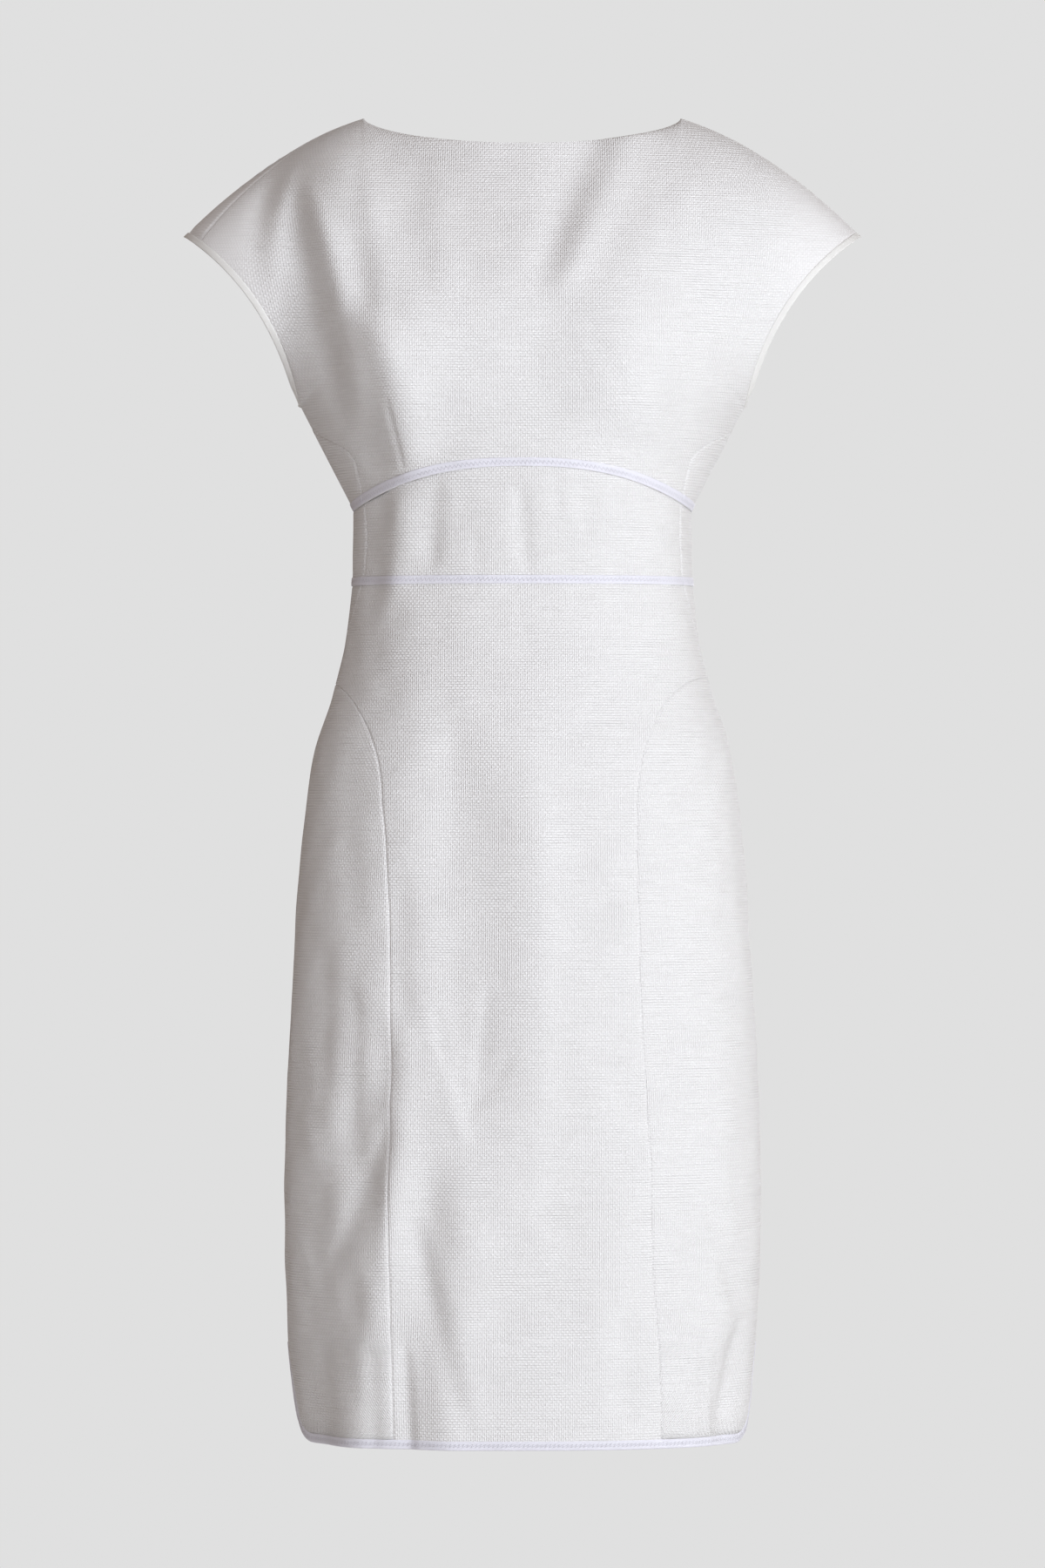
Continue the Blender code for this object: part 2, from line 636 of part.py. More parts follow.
def midriff_front_place(i, j):
    share = i / BODICE_COLUMNS - 1
    top = bust_seam_at(share * seam_turn(LEFT, BUST_SEAM_SIDE_Z))
    z = midriff_z(top, j)
    turn = share * seam_turn(LEFT, z)
    return body_point(turn, z), body_normal(turn, z)


def midriff_back_place(side):
    def place(i, j):
        wrapped = clamp((i - BODICE_COLUMNS) / BACK_WRAP_COLUMNS)
        top = bust_seam_at(mix(pi / 2, seam_turn(LEFT, BUST_SEAM_SIDE_Z), wrapped))
        z = midriff_z(top, j)
        if i <= BODICE_COLUMNS:
            turn = side * mix(pi, pi / 2, i / BODICE_COLUMNS)
        else:
            turn = mix(side * pi / 2, seam_turn(side, z), wrapped)
        return body_point(turn, z), body_normal(turn, z)
    return place


def make_midriff():
    rows = MIDRIFF_ROWS + 1
    tape = {"outer": SEAM_GAP + TAPE_THICK, "inner": SEAM_GAP}
    pieces = [("front", midriff_front_place, 2 * BODICE_COLUMNS)]
    for side in (RIGHT, LEFT):
        pieces.append(("back_" + SIDE_NAMES[side], midriff_back_place(side),
                       BODICE_COLUMNS + BACK_WRAP_COLUMNS))
    for name, place, columns in pieces:
        wall("midriff_" + name, CLOTH, columns, rows, place)

        def tape_place(i, j, place=place):
            return place(i, MIDRIFF_ROWS + j)

        wall("waist_tape_" + name, TAPE, columns, 1, tape_place, **tape)


# ----------------------------------------------------------------------- skirt


def hip_seam_point(seam, k):
    """Turn and height of a hip seam at its row k, from the side down to the hem."""
    if k <= CURVE_ROWS:
        angle = CURVE_STEPS[k] * pi / 2
        start_x = read(BODY_RINGS, seam.start_z, "half_width")
        z = seam.knee_z + (seam.start_z - seam.knee_z) * cos(angle)
        x = seam.knee_x + (start_x - seam.knee_x) * (1 - sin(angle) ** seam.bluntness)
        x = min(x, read(BODY_RINGS, z, "half_width"))
    else:
        z = lower_z(seam.knee_z, k)
        x = read(seam.run, z, "x")
    return body_turn(seam.side, x, z), z


def lower_z(knee_z, k):
    """Height of a row below the knee of the hip seams."""
    past = k - CURVE_ROWS
    if past <= RUN_ROWS:
        return mix(knee_z, SLIT_TOP_Z, past / RUN_ROWS)
    bottom = HEM_Z + BINDING_WIDTH
    return mix(SLIT_TOP_Z, bottom, (past - RUN_ROWS) / (SLIT_ROWS + CORNER_ROWS))


def slit_edge(k, inset):
    """Distance from the side line and height along a slit's edge, for k from 0 at its
    top to SLIT_ROWS + CORNER_ROWS at the hem, moved into the panel by the inset."""
    corner_z = HEM_Z + CORNER_HEIGHT
    if k <= SLIT_ROWS:
        z = mix(SLIT_TOP_Z, corner_z, k / SLIT_ROWS)
        share = (SLIT_TOP_Z - z) / (SLIT_TOP_Z - corner_z)
        return SLIT_GAPE * share ** 1.3 + inset * min(1.0, share * SLIT_ROWS), z
    angle = (k - SLIT_ROWS) / CORNER_ROWS * pi / 2
    away = SLIT_GAPE + CORNER_WIDTH - (CORNER_WIDTH - inset) * cos(angle)
    return away, corner_z - (CORNER_HEIGHT - inset) * sin(angle)


def skirt_side_edge(side, face, start_z, k):
    """Turn and height of a lower panel's edge: side seam, slit, rounded corner."""
    straight = CURVE_ROWS + RUN_ROWS
    if k <= straight:
        z = mix(start_z, SLIT_TOP_Z, (k / straight) ** SIDE_CLOSENESS)
        return side * pi / 2, z
    away, z = slit_edge(k - straight, BINDING_WIDTH)
    return side_turn(side, face, away, z), z


def skirt_front_place(i, j):
    """Rows follow the waist at the top and the hip seams lower down."""
    ends = []
    for seam in HIP_SEAMS:
        if j <= YOKE_ROWS:
            z = mix(WAIST_Z, seam.start_z, j / YOKE_ROWS)
            ends.append((seam_turn(seam.side, z), z))
        else:
            ends.append(hip_seam_point(seam, j - YOKE_ROWS))
    (right_turn, right_z), (left_turn, left_z) = ends
    share = i / SKIRT_COLUMNS - 1
    turn = mix(right_turn, left_turn, (share + 1) / 2)
    edge_z = mix(right_z, left_z, (share + 1) / 2)
    middle_z = edge_z
    yoke_end = (HIP_SEAMS[0].start_z + HIP_SEAMS[1].start_z) / 2 + YOKE_LIFT
    if j <= YOKE_ROWS:
        middle_z = mix(WAIST_Z, yoke_end, j / YOKE_ROWS)
    elif j < YOKE_ROWS + CURVE_ROWS:
        knee_z = (HIP_SEAMS[0].knee_z + HIP_SEAMS[1].knee_z) / 2
        share_down = ((j - YOKE_ROWS) / CURVE_ROWS) ** SIDE_CLOSENESS
        middle_z = mix(yoke_end, knee_z, share_down)
    z = mix(middle_z, edge_z, abs(share) ** 3)
    return body_point(turn, z), body_normal(turn, z)


def skirt_side_place(seam):
    """Columns run from the hip seam to the side seam; the top comes to a point."""
    def place(i, j):
        k = j + 1
        inner_turn, inner_z = hip_seam_point(seam, k)
        outer_turn, outer_z = skirt_side_edge(seam.side, FRONT, seam.start_z, k)
        share = i / SIDE_COLUMNS
        turn = mix(inner_turn, outer_turn, share)
        z = mix(inner_z, outer_z, share)
        return body_point(turn, z), body_normal(turn, z)
    return place


def skirt_back_place(side):
    start_z = HIP_SEAMS[0].start_z if side == RIGHT else HIP_SEAMS[1].start_z

    def place(i, j):
        share = i / BACK_COLUMNS
        if j <= YOKE_ROWS:
            side_z = mix(WAIST_Z, start_z, j / YOKE_ROWS)
            edge = seam_turn(side, side_z)
        else:
            edge, side_z = skirt_side_edge(side, BACK, start_z, j - YOKE_ROWS)
        if j <= YOKE_ROWS + CURVE_ROWS + RUN_ROWS:
            z = side_z
        else:
            past = j - YOKE_ROWS - CURVE_ROWS - RUN_ROWS
            level = mix(SLIT_TOP_Z, HEM_Z + BINDING_WIDTH, past / (SLIT_ROWS + CORNER_ROWS))
            z = mix(level, side_z, share)
        turn = mix(side * pi, edge, share)
        return body_point(turn, z), body_normal(turn, z)
    return place


def make_skirt():
    wall("skirt_front", CLOTH, 2 * SKIRT_COLUMNS, YOKE_ROWS + LOWER_ROWS, skirt_front_place)
    for seam in HIP_SEAMS:
        name = SIDE_NAMES[seam.side]
        wall("skirt_side_" + name, CLOTH, SIDE_COLUMNS, LOWER_ROWS - 1,
             skirt_side_place(seam))
        wall("skirt_back_" + name, CLOTH, BACK_COLUMNS, YOKE_ROWS + LOWER_ROWS,
             skirt_back_place(seam.side))
    for face, name in ((FRONT, "front"), (BACK, "back")):
        make_hem_binding("hem_binding_" + name, face)


def make_hem_binding(name, face):
    """A strip from one slit's top, round the corner, along the hem and up the other."""
    rise = SLIT_ROWS + CORNER_ROWS
    last = 2 * rise + HEM_COLUMNS

    def edge_at(k, inset):
        if k <= rise or k >= last - rise:
            side = RIGHT if k <= rise else LEFT
            away, z = slit_edge(min(k, last - k), inset)
            return body_point(side_turn(side, face, away, z), z), z
        z = HEM_Z + inset
        ends = [side_turn(side, face, SLIT_GAPE + CORNER_WIDTH, z) for side in (RIGHT, LEFT)]
        if face == BACK:
            ends[0] += 2 * pi
        turn = mix(ends[0], ends[1], (k - rise) / HEM_COLUMNS)
        return body_point(turn, z), z

    def place(i, j):
        k = clamp(i, BINDING_START, last - BINDING_START)
        inset = 0.0 if j == 1 else BINDING_WIDTH - SEAM_GAP
        point, z = edge_at(k, inset)
        radial = Vector((point.x, point.y, 0)).normalized()
        return point, radial

    wall(name, TAPE, last, 1, place, outer=BAND_PROUD, inner=-WALL - BAND_PROUD,
         trim=(0, 0, 0, 0))


# ----------------------------------------------------------------------- zip

def back_line(z):
    """The centre back's outer point and normal at a height."""
    if z < BUST_SEAM_SIDE_Z:
        return body_point(pi, z), body_normal(pi, z)
    low, high = 0.0, 1.0
    for _ in range(40):
        middle = (low + high) / 2
        if sheet_point(BACK, 0.0, middle).z < z:
            low = middle
        else:
            high = middle
    return sheet_point(BACK, 0.0, low), sheet_normal(BACK, 1e-3, low)


def make_zip():
    def place(i, j):
        z = mix(ZIP_TOP_Z, ZIP_END_Z, j / ZIP_ROWS)
        point, normal = back_line(z)
        normal.x = 0.0
        across = mix(-ZIP_HALF_WIDTH, ZIP_HALF_WIDTH, i / 2)
        return point + Vector((across, 0, 0)), normal.normalized()

    inner = -WALL - ZIP_INSET - ZIP_THICK
    wall("zip_chain", TAPE, 2, ZIP_ROWS, place, outer=-WALL - ZIP_INSET, inner=inner,
         trim=(0, 0, 0, 0))
    make_slider()
    make_pull()


def slider_frame(height):
    """A frame on the centre back at the slider: y up along the zip, z out of the cloth."""
    point, out = back_line(SLIDER_Z)
    out.x = 0.0
    out.normalize()
    across = Vector((-1, 0, 0))
    up = out.cross(across)
    frame = Matrix((across, up, out)).transposed().to_4x4()
    frame.translation = point + out * height
    return frame


def block(size, centre, bevelled=0.0):
    bm = bmesh.new()
    bmesh.ops.create_cube(bm, size=1.0)
    for vert in bm.verts:
        vert.co = Vector([vert.co[k] * size[k] + centre[k] for k in range(3)])
    if bevelled:
        top = max(vert.co.z for vert in bm.verts)
        edges = [edge for edge in bm.edges
                 if all(vert.co.z > top - 1e-6 for vert in edge.verts)
                 and abs(edge.verts[0].co.x - edge.verts[1].co.x) > 1e-6]
        bmesh.ops.bevel(bm, geom=edges, offset=bevelled, offset_type="OFFSET", segments=4,
                        profile=0.5, affect="EDGES", material=-1)
    mesh = bpy.data.meshes.new("block")
    bm.to_mesh(mesh)
    bm.free()
    return mesh


def helper(name, mesh):
    made = bpy.data.objects.new(name, mesh)
    helpers.objects.link(made)
    made.hide_render = True
    made.display_type = "WIRE"
    return made


def boolean(target, cutter, operation):
    step = target.modifiers.new(operation.lower(), "BOOLEAN")
    step.operation = operation
    step.object = cutter


def make_slider():
    """Body behind the cloth, and a loop that comes out between the two backs."""
    frame = slider_frame(0.0)
    body_z = -WALL - SEAM_GAP - SLIDER_BODY.z / 2
    mesh = block(SLIDER_BODY, (0, 0, body_z))
    mesh.materials.append(material("zip_slider", *METAL))
    slider = bpy.data.objects.new("zip_slider", mesh)
    dress.objects.link(slider)
    crown = helper("crown", block(CROWN, (0, 0, CROWN_TOP - CROWN.z / 2), bevelled=CROWN_HOLE))
    bm = bmesh.new()
    bmesh.ops.create_cone(bm, cap_ends=True, segments=16, radius1=CROWN_HOLE,
                          radius2=CROWN_HOLE, depth=CROWN.x * 3)
    turn = Matrix.Rotation(pi / 2, 4, "Y")
    bmesh.ops.transform(bm, matrix=Matrix.Translation((0, 0, PIN_HEIGHT)) @ turn,
                        verts=bm.verts)
    hole_mesh = bpy.data.meshes.new("hole")
    bm.to_mesh(hole_mesh)
    bm.free()
    hole = helper("hole", hole_mesh)
    boolean(crown, hole, "DIFFERENCE")
    boolean(slider, crown, "UNION")
    for made in (slider, crown, hole):
        made.matrix_world = frame


def make_pull():
    """A flat tab that hangs from its top bar; the slot below the bar clears the crown."""
    curve = bpy.data.curves.new("pull_outline", "CURVE")
    curve.dimensions = "2D"
    curve.fill_mode = "BOTH"
    curve.extrude = PULL_THICK / 2
    centre_y = PULL_END_RADIUS - PULL_LENGTH
    outline = [(PULL_HALF_WIDTH, PULL_BAR), (PULL_HALF_WIDTH, -PULL_SLOT.y)]
    for k in range(13):
        angle = -pi * k / 12
        outline.append((PULL_END_RADIUS * cos(angle), centre_y + PULL_END_RADIUS * sin(angle)))
    outline += [(-PULL_HALF_WIDTH, -PULL_SLOT.y), (-PULL_HALF_WIDTH, PULL_BAR)]
    slot = [(x, y) for x, y in ((PULL_SLOT.x, -PULL_BAR), (PULL_SLOT.x, -PULL_SLOT.y),
                                (-PULL_SLOT.x, -PULL_SLOT.y), (-PULL_SLOT.x, -PULL_BAR))]
    for points in (outline, slot):
        spline = curve.splines.new("POLY")
        spline.points.add(len(points) - 1)
        for point, (x, y) in zip(spline.points, points):
            point.co = (x, y, 0, 1)
        spline.use_cyclic_u = True
    flat = helper("pull_outline", curve)
    graph = bpy.context.evaluated_depsgraph_get()
    mesh = bpy.data.meshes.new_from_object(flat.evaluated_get(graph))
    bm = bmesh.new()
    bm.from_mesh(mesh)
    bmesh.ops.remove_doubles(bm, verts=bm.verts[:], dist=1e-6)
    bpy.data.objects.remove(flat, do_unlink=True)
    pull = keep("zip_pull", bm, METAL)
    pull.matrix_world = slider_frame(PIN_HEIGHT)
    print("pull tab's axis at", [round(c, 5) for c in pull.matrix_world.translation])


# ----------------------------------------------------------------------- the dress

def clear_scene():
    for old in list(bpy.data.objects):
        bpy.data.objects.remove(old, do_unlink=True)


clear_scene()
dress = bpy.data.collections.new("sheath_dress")
helpers = bpy.data.collections.new("helpers")
for group in (dress, helpers):
    bpy.context.scene.collection.children.link(group)
make_bodice()
make_midriff()
make_skirt()
make_zip()
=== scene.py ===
# %% [markdown]
# # A woven sheath dress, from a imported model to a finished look
#
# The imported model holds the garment's construction: every panel, tape and band as a plain
# solid of its real size. This lesson gives each of them the look of the real cloth. Each
# panel is laid again on the same form as its solid, with a finer grid, creases, rolled
# seam edges and a woven surface. Nothing is fitted by eye afterwards, because both files
# work in metres, in one frame: +Z is up, the front faces -Y and the wearer's left is +X.

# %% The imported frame
from collections import namedtuple

import bmesh
import bpy
import numpy as np
from mathutils import Matrix, Vector


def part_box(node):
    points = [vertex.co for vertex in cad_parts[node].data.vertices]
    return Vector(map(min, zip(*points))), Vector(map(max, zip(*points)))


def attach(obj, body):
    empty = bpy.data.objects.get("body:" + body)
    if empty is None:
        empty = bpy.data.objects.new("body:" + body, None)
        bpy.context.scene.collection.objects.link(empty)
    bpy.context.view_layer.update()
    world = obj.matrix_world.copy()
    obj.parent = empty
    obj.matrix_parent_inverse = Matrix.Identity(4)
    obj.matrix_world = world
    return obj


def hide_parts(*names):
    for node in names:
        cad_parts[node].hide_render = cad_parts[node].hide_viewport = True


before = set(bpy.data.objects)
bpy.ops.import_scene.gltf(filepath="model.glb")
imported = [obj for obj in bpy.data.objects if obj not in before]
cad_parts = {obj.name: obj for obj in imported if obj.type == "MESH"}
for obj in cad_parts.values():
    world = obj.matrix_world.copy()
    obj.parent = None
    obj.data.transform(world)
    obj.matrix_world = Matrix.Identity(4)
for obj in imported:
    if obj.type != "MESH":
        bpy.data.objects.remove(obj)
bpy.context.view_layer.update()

# %% [markdown]
# ## The form of the body
#
# Below the under-bust seam the dress is a stack of closed rings. A ring is an ellipse made
# a little squarer, with its own depth at the front and at the back. A table with a row for
# each height is easy to read and to change, and a smooth curve through its rows gives the
# ring at any height in between. The functions take whole arrays of places at once, because
# a grid of forty thousand points would be slow to work out point by point.

# %% Sizes and rings
WALL = 0.0012
SEAM_GAP = 0.0003
TAPE_WIDTH = 0.0060
BINDING_WIDTH = 0.0060
SLEEVE_BAND_WIDTH = 0.0040
BAND_PROUD = 0.0003          # above the cloth it is sewn to
FRONT, BACK = -1, 1
RIGHT, LEFT = -1, 1
SIDE_NAMES = {RIGHT: "right", LEFT: "left"}
WAIST_Z = -0.3517
HEM_Z = -0.9915

Ring = namedtuple("Ring", "z half_width front back power")
BODY_RINGS = (
    Ring(-0.255, 0.1262, 0.1060, 0.0925, 2.30),
    Ring(-0.297, 0.1266, 0.1010, 0.0885, 2.30),
    Ring(-0.325, 0.1270, 0.0955, 0.0860, 2.30),
    Ring(-0.352, 0.1278, 0.0930, 0.0865, 2.30),
    Ring(-0.396, 0.1333, 0.0985, 0.0985, 2.25),
    Ring(-0.435, 0.1431, 0.1050, 0.1130, 2.25),
    Ring(-0.474, 0.1560, 0.1100, 0.1240, 2.25),
    Ring(-0.533, 0.1644, 0.1140, 0.1310, 2.25),
    Ring(-0.631, 0.1719, 0.1150, 0.1290, 2.25),
    Ring(-0.762, 0.1782, 0.1160, 0.1240, 2.25),
    Ring(-0.860, 0.1784, 0.1160, 0.1215, 2.25),
    Ring(-0.913, 0.1758, 0.1155, 0.1200, 2.25),
    Ring(-0.960, 0.1722, 0.1150, 0.1195, 2.25),
    Ring(-0.995, 0.1675, 0.1150, 0.1190, 2.25),
)


def mix(first, second, share):
    return first * (1 - share) + second * share


def ease(value):
    value = np.clip(value, 0.0, 1.0)
    return value * value * (3 - 2 * value)


def bend(start, middle, end, t):
    return start * (1 - t) ** 2 + middle * 2 * t * (1 - t) + end * t * t


def read(table, place, column):
    """A column of a table at places along its first column, on a smooth curve."""
    rows = sorted(table)
    at = np.array([row[0] for row in rows])
    values = np.array([getattr(row, column) for row in rows])
    slopes = np.diff(values) / np.diff(at)
    tangents = np.concatenate(([slopes[0]], (slopes[:-1] + slopes[1:]) / 2, [slopes[-1]]))
    place = np.clip(place, at[0], at[-1])
    k = np.clip(np.searchsorted(at, place, side="right") - 1, 0, len(rows) - 2)
    span = at[k + 1] - at[k]
    t = (place - at[k]) / span
    return (values[k] * (1 + 2 * t) * (1 - t) ** 2 + tangents[k] * span * t * (1 - t) ** 2
            + values[k + 1] * t * t * (3 - 2 * t) - tangents[k + 1] * span * t * t * (1 - t))


def stack(x, y, z):
    return np.stack(np.broadcast_arrays(x, y, z), axis=-1)


def unit(vectors):
    length = np.linalg.norm(vectors, axis=-1, keepdims=True)
    return vectors / np.maximum(length, 1e-12)


print("half width at the waist seam:", round(float(read(BODY_RINGS, WAIST_Z, "half_width")), 4))

# %% [markdown]
# ## Creases
#
# Cloth that is held at the shoulders and filled out below shows soft troughs and ridges.
# Each one here is given as a curved line on the front or the back of the dress,
# with a width, a depth (a ridge has a negative one), a step and a lean. A step sinks the
# cloth on one side of the line and lifts it on the other, as where a loose panel turns
# away from the light. A leaning crease is steep on one side and slow on the other, as real
# ones are. All of them fade out at both ends. A sum of long, weak waves under them keeps
# the cloth between the creases from looking ironed.

# %% The crease tables
Crease = namedtuple("Crease", "face start middle end width depth step lean",
                    defaults=(0.0, 0.0, 0.0))
SKIRT_CREASES = (
    # the largest ones, which the solids have too
    Crease(FRONT, (-0.050, -0.420), (-0.050, -0.600), (-0.038, -0.790), 0.032, 0.0060, 0, 0.2),
    Crease(FRONT, (0.004, -0.450), (0.018, -0.620), (0.006, -0.820), 0.026, -0.0034, 0, -0.3),
    Crease(FRONT, (-0.086, -0.800), (-0.062, -0.880), (-0.032, -1.000), 0.012, 0.0018, 0.0010),
    Crease(FRONT, (-0.126, -0.840), (-0.122, -0.920), (-0.112, -1.040), 0.014, 0.0022),
    Crease(FRONT, (0.171, -0.890), (0.162, -0.935), (0.146, -1.000), 0.013, 0.0095, 0, 0.2),
    Crease(BACK, (-0.050, -0.560), (-0.060, -0.700), (-0.074, -0.900), 0.030, 0.0050, 0, 0.2),
    Crease(BACK, (0.072, -0.500), (0.064, -0.680), (0.056, -0.860), 0.028, 0.0045, 0, -0.2),
    Crease(BACK, (0.112, -0.840), (0.104, -0.900), (0.094, -1.020), 0.018, 0.0044),
    # the lower left front turns away from the light, in three long soft steps
    Crease(FRONT, (-0.150, -0.760), (-0.142, -0.880), (-0.158, -1.100), 0.024, 0.0, 0.0046),
    Crease(FRONT, (-0.112, -0.700), (-0.112, -0.860), (-0.146, -1.120), 0.028, 0.0, 0.0062),
    Crease(FRONT, (-0.096, -0.660), (-0.092, -0.760), (-0.108, -0.880), 0.015, 0.0, 0.0020),
    Crease(FRONT, (-0.056, -0.760), (-0.060, -0.880), (-0.086, -1.100), 0.030, 0.0, 0.0036),
    # finer ones at the front
    Crease(FRONT, (0.002, -0.350), (0.004, -0.390), (0.004, -0.430), 0.0040, 0.0005, 0.0002),
    Crease(FRONT, (-0.066, -0.660), (-0.065, -0.685), (-0.056, -0.712), 0.0060, 0.0009, 0, 0.3),
    Crease(FRONT, (-0.046, -0.745), (-0.022, -0.728), (-0.002, -0.690), 0.0080, 0.0011, 0, -0.3),
    Crease(FRONT, (-0.060, -0.705), (-0.050, -0.750), (-0.040, -0.770), 0.0070, -0.0012),
    Crease(FRONT, (-0.026, -0.640), (-0.030, -0.690), (-0.036, -0.735), 0.0080, 0.0012, 0, 0.2),
    Crease(FRONT, (-0.088, -0.560), (-0.094, -0.620), (-0.088, -0.690), 0.0110, 0.0014),
    Crease(FRONT, (-0.128, -0.640), (-0.120, -0.690), (-0.132, -0.770), 0.0090, 0.0020, 0, -0.2),
    Crease(FRONT, (-0.150, -0.600), (-0.140, -0.680), (-0.152, -0.750), 0.0100, 0.0018, 0, 0.2),
    Crease(FRONT, (-0.094, -0.735), (-0.112, -0.800), (-0.152, -0.870), 0.0120, 0.0030, 0, 0.3),
    Crease(FRONT, (-0.110, -0.905), (-0.108, -0.960), (-0.109, -1.020), 0.0060, 0.0020),
    Crease(FRONT, (-0.086, -0.905), (-0.084, -0.950), (-0.080, -1.020), 0.0070, 0.0014, 0.0010),
    Crease(FRONT, (0.078, -0.880), (0.074, -0.920), (0.076, -0.990), 0.0130, 0.0016),
    Crease(FRONT, (0.138, -0.800), (0.150, -0.850), (0.172, -0.920), 0.0110, 0.0026, 0, 0.3),
    Crease(FRONT, (0.136, -0.920), (0.134, -0.955), (0.135, -1.000), 0.0050, 0.0019),
    Crease(FRONT, (0.145, -0.915), (0.144, -0.955), (0.142, -1.000), 0.0045, 0.0017),
    # and at the back, in the same manner
    Crease(BACK, (-0.110, -0.600), (-0.118, -0.680), (-0.128, -0.780), 0.0100, 0.0020, 0, 0.2),
    Crease(BACK, (-0.020, -0.640), (-0.034, -0.690), (-0.052, -0.720), 0.0070, 0.0016, 0, -0.3),
    Crease(BACK, (0.030, -0.700), (0.042, -0.740), (0.050, -0.800), 0.0080, 0.0018, 0, 0.3),
    Crease(BACK, (0.125, -0.640), (0.130, -0.720), (0.120, -0.790), 0.0110, 0.0022),
    Crease(BACK, (-0.095, -0.830), (-0.088, -0.910), (-0.090, -1.020), 0.0130, 0.0024),
    Crease(BACK, (-0.030, -0.890), (-0.026, -0.935), (-0.028, -1.000), 0.0080, 0.0018),
    Crease(BACK, (0.038, -0.880), (0.036, -0.940), (0.040, -1.020), 0.0110, 0.0014),
)
MIDRIFF_CREASES = (
    Crease(FRONT, (-0.093, -0.230), (-0.100, -0.305), (-0.107, -0.390), 0.0160, 0.0, 0.0024),
    Crease(FRONT, (-0.060, -0.262), (-0.062, -0.300), (-0.066, -0.350), 0.0110, 0.0014, 0.0010),
    Crease(FRONT, (0.000, -0.270), (0.002, -0.310), (0.006, -0.352), 0.0080, 0.0017, 0.0006),
    Crease(FRONT, (0.024, -0.255), (0.026, -0.280), (0.026, -0.310), 0.0060, 0.0009),
    Crease(FRONT, (0.043, -0.250), (0.044, -0.285), (0.050, -0.325), 0.0080, 0.0013, 0, 0.2),
    Crease(FRONT, (-0.036, -0.310), (-0.034, -0.335), (-0.034, -0.360), 0.0060, 0.0005),
    Crease(BACK, (-0.052, -0.280), (-0.050, -0.325), (-0.054, -0.370), 0.0130, 0.0013),
    Crease(BACK, (0.040, -0.280), (0.044, -0.325), (0.042, -0.370), 0.0150, 0.0014),
    Crease(BACK, (0.086, -0.290), (0.084, -0.325), (0.088, -0.360), 0.0070, 0.0012),
)
BODICE_CREASES = (
    # the left of the picture: a wide turn, and two folds at the armhole
    Crease(FRONT, (-0.160, 0.020), (-0.184, -0.120), (-0.130, -0.330), 0.050, 0.0, 0.0080),
    Crease(FRONT, (-0.170, -0.026), (-0.206, -0.096), (-0.194, -0.170), 0.0125, 0.0, 0.0044),
    Crease(FRONT, (-0.168, -0.040), (-0.150, -0.130), (-0.122, -0.250), 0.0165, 0.0, 0.0064),
    Crease(FRONT, (-0.130, -0.140), (-0.107, -0.200), (-0.088, -0.310), 0.0250, -0.0020, 0.0068),
    Crease(FRONT, (-0.122, -0.030), (-0.116, -0.100), (-0.106, -0.170), 0.0130, 0.0, 0.0012),
    # the fold that falls from the left of the neck
    Crease(FRONT, (0.110, 0.070), (0.046, -0.050), (0.016, -0.150), 0.0200, 0.0, 0.0046),
    Crease(FRONT, (0.188, -0.108), (0.182, -0.130), (0.172, -0.155), 0.0130, 0.0032, 0.0010),
    Crease(FRONT, (0.102, -0.040), (0.110, -0.080), (0.108, -0.130), 0.0090, 0.0010, 0, 0.3),
    Crease(FRONT, (0.128, -0.050), (0.134, -0.090), (0.128, -0.140), 0.0080, 0.0008, 0, 0.2),
    Crease(FRONT, (-0.066, -0.020), (-0.078, -0.080), (-0.056, -0.160), 0.0190, 0.0, 0.0012),
    Crease(FRONT, (0.050, -0.160), (0.074, -0.200), (0.092, -0.230), 0.0100, 0.0007, 0.0004),
    Crease(FRONT, (-0.062, -0.072), (-0.010, -0.080), (0.030, -0.072), 0.0060, 0.0003),
    Crease(BACK, (-0.158, -0.050), (-0.146, -0.120), (-0.124, -0.200), 0.0190, 0.0026, -0.0030),
    Crease(BACK, (0.166, -0.050), (0.152, -0.120), (0.128, -0.200), 0.0190, 0.0026, 0.0034),
    Crease(BACK, (-0.060, -0.040), (-0.070, -0.090), (-0.060, -0.150), 0.0120, 0.0020),
    Crease(BACK, (0.050, -0.050), (0.044, -0.100), (0.060, -0.160), 0.0120, 0.0018, 0, 0.2),
    Crease(BACK, (0.100, -0.190), (0.090, -0.230), (0.094, -0.280), 0.0100, 0.0020),
    Crease(BACK, (-0.088, -0.200), (-0.084, -0.240), (-0.090, -0.280), 0.0100, 0.0018),
)
CREASE_PIECES = 8            # straight pieces of a crease's curve
CREASE_REACH = 3             # past so many widths nothing of a crease is left
CREASE_TAPER = 0.45          # how much narrower a crease is at its ends
CREASE_FULL = 1.2            # above 1, a crease keeps its full depth along its middle
STEP_PEAK = np.sqrt(2 * np.e)    # makes a step's own number its greatest depth
FOLD_FADE = 1.6              # creases die out towards the sides
FOLD_LEAN = 0.6              # and push the cloth this much towards the centre line


